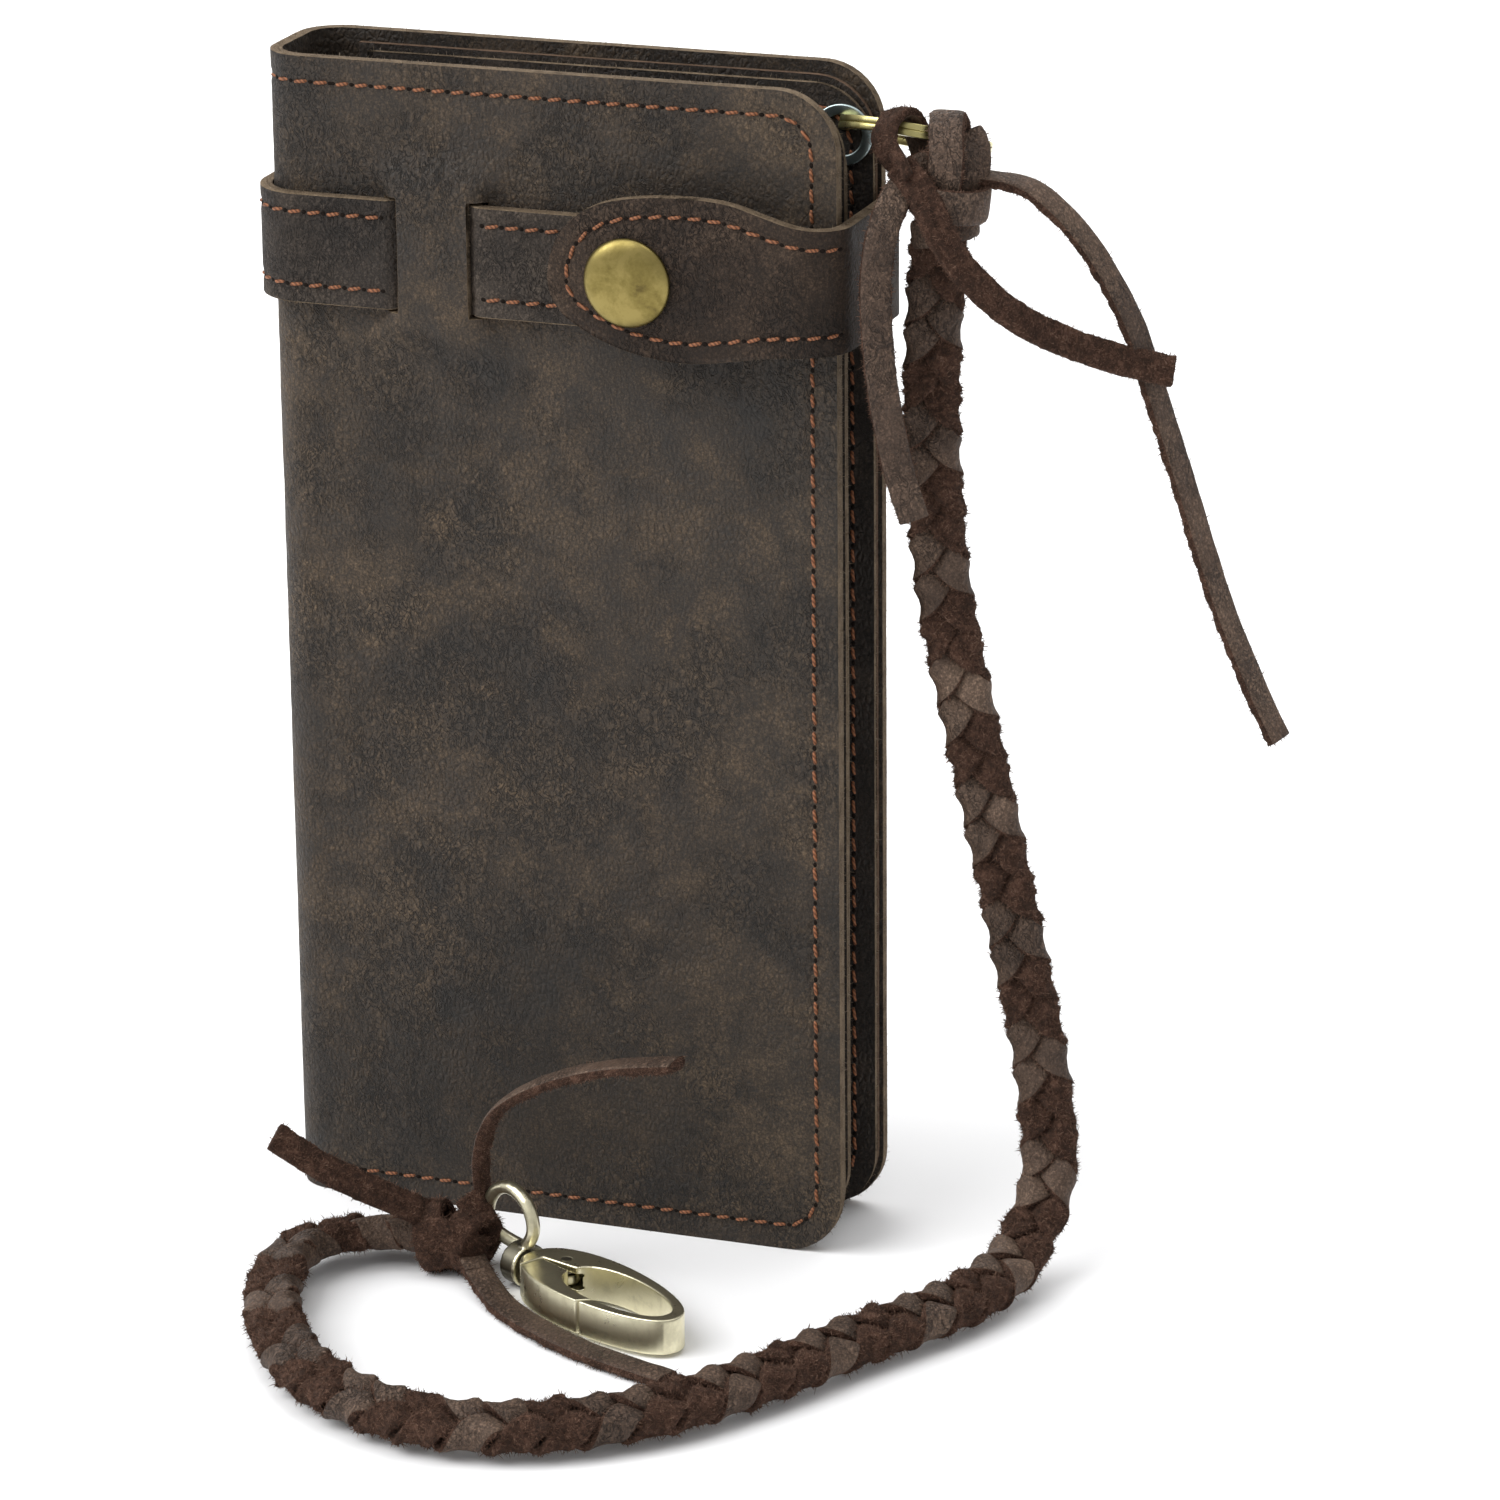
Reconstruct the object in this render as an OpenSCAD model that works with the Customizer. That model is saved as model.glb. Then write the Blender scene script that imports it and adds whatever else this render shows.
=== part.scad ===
// Long leather wallet with a snap tab, a braided lanyard and a swivel clasp.
// The wallet stands closed on its bottom edge. +X is the open fore-edge, -Y the front cover, +Z up.
// The origin is the middle of the wallet's footprint, measured without the lanyard.

/* [Wallet] */
// Closed width, from the spine to the fore-edge
wallet_w = 98; // [90:1:105]
// Height
wallet_h = 195; // [190:1:205]
// Thickness over the two closed covers
wallet_t = 24; // [23:0.5:26]
// Thickness of the cover leather
cover_t = 2; // [1.5:0.1:2.2]
// Thickness of a pocket leather
pocket_t = 1; // [0.6:0.1:1]
// Radius of the covers' corners at the fore-edge
corner_r = 10; // [6:1:14]
// Depth of the rounded spine, from its back to the flat of a cover
spine_depth = 8; // [7.5:0.5:10]

/* [Strap and snap] */
// Width of the strap
strap_w = 18; // [16:1:20]
// Thickness of the strap
strap_t = 2; // [1.6:0.1:2]
// Height of the strap's middle above the base
strap_z = 164; // [160:1:166]
// Width of the tab at its widest
tab_w = 26; // [24:1:28]
// Distance of the snap from the middle of the wallet
snap_x = 16.5; // [12:0.5:20]
// Radius of the snap's cap
cap_r = 7.2; // [6:0.1:7.5]

/* [Ring] */
// Outer radius of the split ring
ring_r = 12.5; // [12:0.1:12.5]
// Radius of the hole through the eyelet
eyelet_bore_r = 3.3; // [3.3:0.05:3.4]

/* [Lanyard] */
// Diameter of the braid
braid_d = 9.5; // [8:0.5:9.5]
// Width of a lace
lace_w = 5; // [4:0.5:5]
// Thickness of a lace
lace_t = 1.8; // [1.4:0.1:1.8]

/* [Clasp] */
// Thickness of the clasp
clasp_t = 6; // [6:0.5:7]
// Width of the clasp's loop
clasp_w = 15; // [14:0.5:16]

/* [Hidden] */
$fn = 64;

hide = "#3b2d22";
suede = "#4a2f22";
old_brass = "#8a7c4a";
dark_brass = "#5c5238";

gap = 0.3;
eps = 0.01;
half_w = wallet_w / 2;
half_t = wallet_t / 2;
fold_x = -half_w + spine_depth;
spine_r = 7;

// stack of the strap, the snap and its cap in front of the front cover
snap_room = 2.4;
cap_h = 2.3;
strap_out_y = half_t + gap + strap_t;
tab_in_y = strap_out_y + snap_room;
tab_out_y = tab_in_y + strap_t;
mid_y = (tab_out_y + cap_h - strap_out_y) / 2;
strap_z0 = strap_z - strap_w / 2;
leaf_y = half_t - cover_t - 2.8;

// slits of the front cover, and the bridge of cover leather between them
bridge_x = -18.5;
bridge_w = 12;
slit_w = 2.6;
strap_slack = 0.5;
bridge_ramp = 4;

// snap
stud_r = 2;
snap_bore_r = 2.4;
rivet_r = 1.2;
rivet_head_r = 4.3;
tab_tip_x = 2.9;
tab_root_w = 20;

// page, sewn in at the spine
page_x = -43;
page_y = -7.4;
page_lean = 3.4;
page_w = 90;
page_h = 191;

// ring and eyelet
ring_wire = 2.2;
ring_c = [half_w + 5.8, 9.5, 184];
ring_lean = [-19.5, 5, 0];
eyelet_x = half_w - 5.5;
eyelet_flange_r = 5;

// knots
knot_loop_at = [61.3, 0.5, 187];
knot_at = [63, -1.5, 168];
knot_end_at = [-8, -37.5, 6.5];

// routes of the lanyard: the braid, then the ends of its laces, in wallet coordinates
braid_route = [
    [61.9, -1, 167.6], [61.5, -1, 160], [61, -1, 145], [61.5, -1, 128], [63.5, -1, 110], [67.5, -1, 91],
    [72, -1, 71], [76.5, -1, 50], [80, -1, 32], [82, -4, 16], [81, -14, 7], [79, -27, 5], [74, -40, 5],
    [66, -54, 5], [58, -70, 5], [47, -87, 5], [33, -99, 5], [17, -104, 5], [2, -101, 5], [-12, -92, 5],
    [-23, -78, 5], [-30, -63, 5], [-32, -50, 5], [-28, -41, 5], [-20, -37, 5], [-11, -37, 5.5]
];
short_route = [[59, -6, 181], [57, -11, 176], [56, -14, 166], [57, -14, 150], [59, -12, 136], [61, -10, 127]];
front_route = [
    [57.5, -6.5, 183], [62, -8.5, 179], [65.5, -10.5, 173.5], [70.5, -10.5, 167], [78, -6.5, 159.5], [88, 2, 153],
    [98, 8, 149.5]
];
long_route = [
    [68, 2, 180], [76, 4, 178], [84, 6, 170], [91, 7, 158], [95, 8, 146],
    [100, 9, 130], [106, 9, 112], [112, 9, 98], [116, 9, 90]
];
left_route = [[-12, -38, 9], [-19, -43, 14], [-27, -47, 19], [-35, -50, 25]];
up_route = [[-5, -34, 11], [-5, -35, 20], [-1, -38, 29], [8, -41, 36], [20, -43, 41], [33, -45, 44]];
floor_route = [[-3, -43, 3], [5, -51.3, 1.2], [15, -59, 1.2], [26, -64.8, 1.2], [40, -69.8, 1.2]];

// clasp: its own frame has +X along the clasp, from the middle of the collar
clasp_at = [4, -39.5, 3.7];
clasp_turn = [0, 0, -30];
loop_x0 = 2.2;
loop_len = 36.5;
loop_wall = 2.4;
pin_at = [8.5, 2];
pin_r = 0.9;
collar_r = 3.6;
post_r = 1.2;
head_r = 2.1;
head_t = 1.4;
eye_wire_r = 1.15;
// from the top of the collar, up and over, and back to the collar's far side
eye_route = [
    [0.2, 0, 3], [1.5, 0, 4.4], [2.5, 0, 6.3], [2.3, 0, 8.6], [0.8, 0, 10.9], [-1.8, 0, 12.2], [-4.6, 0, 12.1],
    [-7.2, 0, 10.6], [-9, 0, 8], [-9.6, 0.3, 5], [-8.9, 1.6, 2.4], [-7, 3.2, 0.8], [-4.4, 4.2, 0],
    [-1.8, 4, -0.2], [-0.2, 2.6, 0]
];
tongue_t = 1.6;

// ---- functions ----

function spline(a, b, c, d, t) =
    0.5 * (2 * b + (c - a) * t + (2 * a - 5 * b + 4 * c - d) * t * t + (3 * b - a - 3 * c + d) * t * t * t);

// a smooth line through the route's points, each stretch in n steps
function smooth(p, n) = [
    for (i = [0 : len(p) - 2], k = [0 : n - 1])
        spline(p[max(i - 1, 0)], p[i], p[i + 1], p[min(i + 2, len(p) - 1)], k / n),
    p[len(p) - 1]
];
function unit(v) = v / norm(v);
function heading(p, i) = unit(p[min(i + 1, len(p) - 1)] - p[max(i - 1, 0)]);

function ring_points(at, ahead, side, section) =
    let (across = unit(cross(ahead, cross(side, ahead))), over = cross(ahead, across))
    [for (s = section) at + s[0] * across + s[1] * over];

function round_section(r, n) = [for (i = [0 : n - 1]) r * [cos(360 * i / n), sin(360 * i / n)]];
function flat_section(w, t) = [[w / 2, t / 2], [-w / 2, t / 2], [-w / 2, -t / 2], [w / 2, -t / 2]];

// outline of the clasp's loop: an egg, broad near its base
function egg(len, w) = [
    for (a = [0 : 7.5 : 352.5])
        [len / 2 * (1 - cos(a)), w / 2 * sign(sin(a)) * pow(abs(sin(a)), 0.85) * (1 + 0.12 * cos(a))]
];

// ---- shared shapes ----

// everything of the wallet is drawn about the middle of its thickness
module wallet() translate([0, mid_y, 0]) children();

// sheet standing in the XZ plane with its two fore-edge corners rounded; its back face is at y
module sheet(x0, x1, z0, z1, r, y, t) {
    translate([0, y, 0]) rotate([90, 0, 0]) linear_extrude(t) {
        translate([x0, z0]) square([x1 - x0 - r, z1 - z0]);
        translate([x1 - r - eps, z0 + r]) square([r + eps, z1 - z0 - 2 * r]);
        for (z = [z0 + r, z1 - r]) translate([x1 - r, z]) circle(r);
    }
}

// a rectangle whose two left corners are rounded
module round_left(x0, x1, half, r) intersection() {
    translate([x0, -half]) square([x1 - x0, 2 * half]);
    union() {
        translate([x0 + r, -half]) square([x1 - x0, 2 * half]);
        translate([x0, -half + r]) square([r + eps, 2 * (half - r)]);
        for (y = [-half + r, half - r]) translate([x0 + r, y]) circle(r);
    }
}

// a channel open towards +X, as the spine's leather is bent
module channel(x0, x1, half, r, t) {
    difference() {
        round_left(x0, x1, half, r);
        round_left(x0 + t, x1 + 1, half - t, r - t);
    }
}

// along +Y, from y0 to y1, at the snap's place
module snap_disc(r, y0, y1) translate([snap_x, y1, strap_z]) rotate([90, 0, 0]) cylinder(r = r, h = y1 - y0);

// a solid of constant section swept along a route
module sweep(route, section, side, n) {
    line = smooth(route, n);
    m = len(section);
    last = len(line) - 1;
    points = [for (i = [0 : last]) each ring_points(line[i], heading(line, i), side, section)];
    sides = [
        for (i = [0 : last - 1], k = [0 : m - 1])
            let (a = i * m + k, b = i * m + (k + 1) % m)
            each [[a, b + m, b], [a, a + m, b + m]]
    ];
    near = [for (k = [0 : m - 1]) k];
    far = [for (k = [m - 1 : -1 : 0]) last * m + k];
    polyhedron(points, concat(sides, [near, far]), convexity = 10);
}

module lace(route, side) wallet() color(suede) sweep(route, flat_section(lace_w, lace_t), side, 2);

// ---- covers ----

module cover_back() wallet() color(hide) difference() {
    sheet(fold_x + gap, half_w, 0, wallet_h, corner_r, half_t, cover_t);
    eyelet_hole();
}

module cover_spine() wallet() color(hide)
    linear_extrude(wallet_h) channel(-half_w, fold_x, half_t, spine_r, cover_t);

// the front cover has a window, and its bridge stands proud of it over the strap
module cover_front() wallet() color(hide) {
    window_w = bridge_w + 2 * slit_w;
    window_h = strap_w + 2 * strap_slack;
    face = -half_t;
    lift = gap + strap_t;
    difference() {
        sheet(fold_x + gap, half_w, 0, wallet_h, corner_r, face + cover_t, cover_t);
        translate([bridge_x - window_w / 2, face - 1, strap_z - window_h / 2])
            cube([window_w, cover_t + 2, window_h]);
    }
    z0 = strap_z - window_h / 2;
    z1 = strap_z + window_h / 2;
    translate([bridge_x - bridge_w / 2, 0, 0]) rotate([90, 0, 90]) linear_extrude(bridge_w) polygon([
        [face + eps, z0 - bridge_ramp], [face - lift, z0], [face - lift, z1], [face + eps, z1 + bridge_ramp],
        [face + eps, z1], [face - gap, z1], [face - gap, z0], [face + eps, z0]
    ]);
}

// ---- pockets ----

module eyelet_hole() translate([eyelet_x, half_t + 1, ring_c[2]])
    rotate([90, 0, 0]) cylinder(r = eyelet_bore_r + 0.5, h = half_t);

module pocket_divider() wallet() color(suede) difference() {
    sheet(fold_x + 1, half_w - 0.5, 1, wallet_h - 2, corner_r, half_t - cover_t - gap, pocket_t);
    eyelet_hole();
}

module leaf_back() wallet() color(hide) difference() {
    sheet(fold_x + 3, half_w - 0.5, 0.5, wallet_h - 3, corner_r, leaf_y + pocket_t, pocket_t);
    eyelet_hole();
}

module lining_front() wallet() color(suede)
    sheet(fold_x + gap, half_w - 0.3, 0.5, wallet_h - 0.5, corner_r, -half_t + cover_t + gap + pocket_t, pocket_t);

// the page leans back from the front cover towards the middle of the fore-edge
module page_sheet(z1, y) wallet() translate([page_x, page_y, 0]) rotate([0, 0, page_lean])
    sheet(0, page_w, 1, z1, corner_r, y, 0.8);
module page_front() color(hide) page_sheet(page_h + 1, 0.8);
module page_back() color(suede) page_sheet(page_h - 1, 1.8);

// the slots stand one before the other, each lower than the one behind
module card_slot(k) wallet() color(hide)
    sheet(fold_x + 5, half_w - 9, 4, 160 - 18 * (k - 1), 3, leaf_y - 0.2 - 1.1 * (k - 1), 0.9);

// ---- strap ----

module strap_back() wallet() color(hide)
    translate([fold_x + gap, half_t + gap, strap_z0])
        cube([half_w + strap_t - fold_x, strap_t, strap_w]);

module strap_spine() wallet() color(hide) translate([0, 0, strap_z0]) linear_extrude(strap_w)
    channel(-half_w - gap - strap_t, fold_x, strap_out_y, spine_r + gap + strap_t, strap_t);

// the strap runs over the cover, dips through the slits and comes out again under the tab
module strap_front() wallet() color(hide) difference() {
    out = -strap_out_y;
    low = -half_t;
    turn_in = bridge_x - bridge_w / 2;
    turn_out = bridge_x + bridge_w / 2;
    end_x = snap_x + 10;
    translate([0, 0, strap_z0]) linear_extrude(strap_w) polygon([
        [fold_x + gap, out], [turn_in - slit_w + 0.2, out], [turn_in - 0.4, low],
        [turn_out + 0.4, low], [turn_out + slit_w - 0.2, out],
        [end_x, out], [end_x, out + strap_t],
        [turn_out + slit_w - 0.2, out + strap_t], [turn_out - 0.4, low + strap_t],
        [turn_in + 0.4, low + strap_t], [turn_in - slit_w + 0.2, out + strap_t], [fold_x + gap, out + strap_t]
    ]);
    snap_disc(rivet_head_r + 0.2, -half_t - gap - 0.8, -half_t);
    snap_disc(rivet_r, out - 1, -half_t);
}

module strap_edge() wallet() color(hide)
    translate([half_w + gap, -tab_in_y + gap, strap_z - tab_root_w / 2])
        cube([strap_t, tab_in_y + half_t - gap, tab_root_w]);

// the tab is broad round the snap and narrows in two smooth curves to the strap that it grew from
function tab_half(s) = tab_w / 2 - (tab_w - tab_root_w) / 4 * (1 - cos(180 * s));

module strap_tab() wallet() color(hide) {
    x_end = half_w + gap + strap_t;
    r = tab_w / 2;
    waist0 = tab_tip_x + r + 5;
    waist1 = x_end - 12;
    difference() {
        translate([0, -tab_in_y, strap_z]) rotate([90, 0, 0]) linear_extrude(strap_t) {
            translate([tab_tip_x + r, 0]) circle(r);
            polygon(concat(
                [[tab_tip_x + r, -r]],
                [for (s = [0 : 0.125 : 1]) [waist0 + (waist1 - waist0) * s, -tab_half(s)]],
                [[x_end, -tab_root_w / 2], [x_end, tab_root_w / 2]],
                [for (s = [1 : -0.125 : 0]) [waist0 + (waist1 - waist0) * s, tab_half(s)]],
                [[tab_tip_x + r, r]]
            ));
        }
        snap_disc(snap_bore_r + 1, -tab_out_y - 1, -tab_in_y + 1);
    }
}

// ---- snap ----

// domed cap whose hollow barrel goes through the tab
module snap_cap() wallet() color(old_brass) {
    dome_r = (cap_r * cap_r + cap_h * cap_h) / (2 * cap_h);
    translate([snap_x, -tab_out_y, strap_z]) rotate([90, 0, 0]) difference() {
        translate([0, 0, cap_h - dome_r]) intersection() {
            sphere(dome_r, $fn = 128);
            translate([0, 0, dome_r - cap_h]) cylinder(r = cap_r, h = cap_h);
        }
        translate([0, 0, -1]) cylinder(r = snap_bore_r, h = 1.6);
    }
    difference() {
        snap_disc(snap_bore_r + 0.8, -tab_out_y - eps, -tab_in_y);
        snap_disc(snap_bore_r, -tab_out_y - 0.6, -tab_in_y + 1);
    }
}

module snap_socket() wallet() color(dark_brass) difference() {
    snap_disc(5.3, -tab_in_y, -tab_in_y + 1.2);
    snap_disc(snap_bore_r, -tab_in_y - 1, -tab_in_y + 2);
}

module snap_stud() wallet() color(old_brass) difference() {
    union() {
        snap_disc(4.5, -strap_out_y - 0.8, -strap_out_y);
        snap_disc(stud_r, -tab_in_y - 0.8, -strap_out_y - 0.8 + eps);
    }
    snap_disc(rivet_r, -tab_in_y, -strap_out_y + 1);
}

module snap_rivet() wallet() color(dark_brass) {
    snap_disc(rivet_head_r, -half_t - gap - 0.7, -half_t - gap - 0.1);
    snap_disc(rivet_r, -tab_in_y, -half_t - gap - 0.7 + eps);
}

// ---- ring ----

module eyelet() wallet() color(dark_brass) translate([eyelet_x, half_t, ring_c[2]]) rotate([90, 0, 0]) {
    depth = half_t - leaf_y;
    difference() {
        union() {
            translate([0, 0, -0.7]) cylinder(r = eyelet_flange_r, h = 0.7);
            translate([0, 0, depth]) cylinder(r = eyelet_flange_r, h = 0.7);
            translate([0, 0, -eps]) cylinder(r = eyelet_bore_r + 0.5, h = depth + 2 * eps);
        }
        translate([0, 0, -1]) cylinder(r = eyelet_bore_r, h = depth + 3);
    }
}

// two turns of flat wire lying on each other
module split_ring() wallet() color(old_brass) translate(ring_c) rotate(ring_lean)
    rotate_extrude($fn = 128) translate([ring_r - ring_wire / 2, 0]) {
        for (z = [-0.55, 0.55]) translate([0, z]) square([1.8, 1], center = true);
        square([1.4, 0.4], center = true);
    }

// ---- lanyard ----

// loop over the ring, and the knot's barrel under it
module knot_top() wallet() color(suede) {
    translate(knot_loop_at) rotate([0, 0, 35]) rotate([90, 0, 90]) rotate_extrude() translate([4.2, 0]) circle(2, $fn = 24);
    translate(knot_at) rotate_extrude() {
        square([5, 15]);
        translate([0, 3]) square([6.5, 9]);
    }
}

module braid() wallet() color(suede) sweep(braid_route, round_section(braid_d / 2, 10), [1, 1, 1], 2);

module knot_end() wallet() color(suede) translate(knot_end_at) rotate([0, 90, 0])
    rotate_extrude() {
        translate([0, -4]) square([5, 10]);
        translate([0, -2.5]) square([6.3, 7]);
    }

module lace_short() lace(short_route, [1, 0.5, 0]);
module lace_front() lace(front_route, [0, 0.6, 1]);
module lace_long() lace(long_route, [0.4, 1, 0]);
module lace_left() lace(left_route, [-0.5, 0.6, 1]);
module lace_up() lace(up_route, [0, 1, 0]);
module lace_floor() lace(floor_route, [1, 2, 0]);

// ---- clasp ----

module clasp() wallet() translate(clasp_at) rotate(clasp_turn) children();
module along_x(x0, x1, r) translate([x0, 0, 0]) rotate([0, 90, 0]) cylinder(r = r, h = x1 - x0);

// collar that turns on the post, with the eye that the laces are tied to
module clasp_eye() clasp() color(old_brass) difference() {
    union() {
        along_x(-2, 1.6, collar_r);
        sweep(eye_route, round_section(eye_wire_r, 16), [0, 1, 0.4], 2);
    }
    along_x(-2 - gap, 3, post_r + 0.2);
}

module swivel_post() clasp() color(dark_brass) {
    along_x(-2.1 - head_t, -2.1, head_r);
    along_x(-2.1 - eps, 6, post_r);
}

module loop_outline() difference() {
    translate([loop_x0, 0]) polygon(egg(loop_len, clasp_w));
    translate([loop_x0 + 10, 0]) polygon(egg(loop_len - 10 - loop_wall, clasp_w - 2 * loop_wall));
}

// the side of the loop that opens; its end is cut along the way that the gate swings
module gate_side(clear) polygon([
    [5.5 - clear, -clasp_w], [5.5 - clear, -0.6 + clear], [12.5 + clear, -0.6 + 5 * clear],
    [25.6 + 1.5 * clear, -2.2], [17.4 + 1.5 * clear, -clasp_w]
]);

module slab(z0, z1) translate([0, 0, z0]) linear_extrude(z1 - z0) children();

module clasp_frame() clasp() color(old_brass) difference() {
    slab(-clasp_t / 2, clasp_t / 2) loop_outline();
    slab(-clasp_t, clasp_t) gate_side(0.35);
    // slot for the gate's tongue and its spring
    slab(-tongue_t / 2 - 0.3, tongue_t / 2 + 0.9) translate([5.2, -4]) square([7.5, 9]);
    translate([pin_at[0], pin_at[1], -clasp_t]) cylinder(r = pin_r, h = 2 * clasp_t);
    along_x(0, 6, post_r);
}

module clasp_gate() clasp() color(old_brass) difference() {
    union() {
        slab(-clasp_t / 2 + 0.05, clasp_t / 2 - 0.05) intersection() {
            loop_outline();
            gate_side(0);
        }
        slab(-tongue_t / 2, tongue_t / 2) {
            translate(pin_at) circle(2.2);
            translate([7, -3]) square([3.4, 4]);
        }
    }
    translate([pin_at[0], pin_at[1], -clasp_t]) cylinder(r = pin_r + 0.05, h = 2 * clasp_t);
    along_x(0, 6.3, post_r + gap);
}

module gate_pin() clasp() color(dark_brass)
    translate([pin_at[0], pin_at[1], -clasp_t / 2]) cylinder(r = pin_r, h = clasp_t);

module gate_spring() clasp() color(dark_brass) translate([pin_at[0], pin_at[1], tongue_t / 2 + 0.4])
    rotate_extrude() translate([1.5, 0]) circle(0.25, $fn = 24);

// ---- nodes ----

cover_back();
cover_spine();
cover_front();
pocket_divider();
leaf_back();
lining_front();
page_front();
page_back();
card_slot(1);  // card_slot_1
card_slot(2);  // card_slot_2
card_slot(3);  // card_slot_3
card_slot(4);  // card_slot_4
strap_back();
strap_spine();
strap_front();
strap_edge();
strap_tab();
snap_cap();
snap_socket();
snap_stud();
snap_rivet();
eyelet();
split_ring();
knot_top();
braid();
knot_end();
lace_short();
lace_front();
lace_long();
lace_left();
lace_up();
lace_floor();
clasp_eye();
swivel_post();
clasp_frame();
clasp_gate();
gate_pin();
gate_spring();
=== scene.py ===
import math
import random

import bpy
import numpy as np
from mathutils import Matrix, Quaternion, Vector, noise
from mathutils.bvhtree import BVHTree


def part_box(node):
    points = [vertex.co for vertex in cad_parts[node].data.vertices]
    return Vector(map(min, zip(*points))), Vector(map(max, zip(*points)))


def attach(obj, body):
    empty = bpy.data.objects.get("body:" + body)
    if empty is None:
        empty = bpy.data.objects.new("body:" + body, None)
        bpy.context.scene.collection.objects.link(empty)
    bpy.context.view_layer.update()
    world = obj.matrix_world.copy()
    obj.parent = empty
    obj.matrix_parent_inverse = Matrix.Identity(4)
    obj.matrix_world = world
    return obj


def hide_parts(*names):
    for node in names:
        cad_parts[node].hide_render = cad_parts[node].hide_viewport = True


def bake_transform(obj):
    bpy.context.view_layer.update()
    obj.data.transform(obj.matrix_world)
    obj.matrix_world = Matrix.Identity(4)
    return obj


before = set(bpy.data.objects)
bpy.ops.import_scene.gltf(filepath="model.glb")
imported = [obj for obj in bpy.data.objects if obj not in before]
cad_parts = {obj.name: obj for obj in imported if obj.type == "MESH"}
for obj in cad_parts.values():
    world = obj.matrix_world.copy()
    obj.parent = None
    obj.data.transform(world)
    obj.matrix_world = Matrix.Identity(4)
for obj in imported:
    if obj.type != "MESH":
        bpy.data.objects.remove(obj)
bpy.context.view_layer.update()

# The wallet stands upright on its bottom edge: +X is the fore-edge, -Y the front cover, +Z up.
# Shapes are drawn in millimetres about the middle of the wallet's thickness; to_frame() takes
# them to metres in the CAD's frame.

MM = 0.001
COVER_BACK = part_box("cover_back")
HALF_W = COVER_BACK[1].x / MM
HEIGHT = COVER_BACK[1].z / MM
HALF_T = 12.0
MID_Y = COVER_BACK[1].y / MM - HALF_T
COVER_T = 2.0
CORNER_R = 10.0
FOLD_R = 7.0
FOLD_X = -HALF_W + FOLD_R
FOLD_FLAT = HALF_T - FOLD_R
STRAP_T = 2.0
STRAP_GAP = 0.3
STRAP_Z = 164.0
STRAP_W = 18.0
BRIDGE = (-24.5, -12.5)
SLIT_W = 2.6
BRIDGE_LIFT = 2.3
SNAP_X = 16.5
TAB_Y = 17.7
LACE_W = 5.0
LACE_T = 1.8


# ---- routes of the lanyard, the same as in the CAD ----

BRAID_ROUTE = [
    (61.9, -1, 167.6), (61.5, -1, 160), (61, -1, 145), (61.5, -1, 128), (63.5, -1, 110), (67.5, -1, 91),
    (72, -1, 71), (76.5, -1, 50), (80, -1, 32), (82, -4, 16), (81, -14, 7), (79, -27, 5), (74, -40, 5),
    (66, -54, 5), (58, -70, 5), (47, -87, 5), (33, -99, 5), (17, -104, 5), (2, -101, 5), (-12, -92, 5),
    (-23, -78, 5), (-30, -63, 5), (-32, -50, 5), (-28, -41, 5), (-20, -37, 5), (-11, -37, 5.5),
]
LACES = {
    "lace_short": dict(
        route=[(59, -6, 181), (57, -11, 176), (56, -14, 166), (57, -14, 150), (59, -12, 136),
               (61, -10, 127)],
        side=(1, 0.5, 0), outer=1, body="back_half"),
    "lace_front": dict(
        route=[(57.5, -6.5, 183), (62, -8.5, 179), (65.5, -10.5, 173.5), (70.5, -10.5, 167),
               (78, -6.5, 159.5), (88, 2, 153), (98, 8, 149.5)],
        side=(0, 0.6, 1), outer=-1, body="back_half"),
    "lace_long": dict(
        route=[(68, 2, 180), (76, 4, 178), (84, 6, 170), (91, 7, 158), (95, 8, 146), (100, 9, 130),
               (106, 9, 112), (112, 9, 98), (116, 9, 90)],
        side=(0.4, 1, 0), outer=1, body="back_half"),
    "lace_left": dict(
        route=[(-12, -38, 9), (-19, -43, 14), (-27, -47, 19), (-35, -50, 25)],
        side=(-0.5, 0.6, 1), outer=1, body="lanyard"),
    "lace_up": dict(
        route=[(-5, -34, 11), (-5, -35, 20), (-1, -38, 29), (8, -41, 36), (20, -43, 41), (33, -45, 44)],
        side=(0, 1, 0), outer=1, body="lanyard"),
    "lace_floor": dict(
        route=[(-3, -43, 3), (5, -51.3, 1.2), (15, -59, 1.2), (26, -64.8, 1.2), (40, -69.8, 1.2)],
        side=(1, 2, 0), outer=1, body="lanyard"),
}


# ---- small tools ----

def to_frame(points):
    """Millimetres about the wallet's middle to metres in the CAD's frame."""
    moved = np.array(points, float).reshape(-1, 3)
    moved[:, 1] += MID_Y
    return moved * MM


def unit(v):
    v = np.asarray(v, float)
    return v / np.linalg.norm(v)


def smoothstep(t):
    t = np.clip(t, 0.0, 1.0)
    return t * t * (3 - 2 * t)


def spline(route, steps):
    """Catmull-Rom line through the route's points, each stretch in the same number of steps."""
    points = [np.array(p, float) for p in route]
    line = []
    for i in range(len(points) - 1):
        a, b = points[max(i - 1, 0)], points[i]
        c, d = points[i + 1], points[min(i + 2, len(points) - 1)]
        for k in range(steps):
            t = k / steps
            line.append(0.5 * (2 * b + (c - a) * t + (2 * a - 5 * b + 4 * c - d) * t ** 2
                               + (3 * b - a - 3 * c + d) * t ** 3))
    line.append(points[-1])
    return np.array(line)


def resample(line, step):
    """Points at even distances along a line, about one step apart."""
    line = np.asarray(line, float)
    reach = np.concatenate([[0], np.cumsum(np.linalg.norm(np.diff(line, axis=0), axis=1))])
    count = max(2, int(round(reach[-1] / step)) + 1)
    at = np.linspace(0, reach[-1], count)
    return np.stack([np.interp(at, reach, line[:, k]) for k in range(line.shape[1])], 1)


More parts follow.
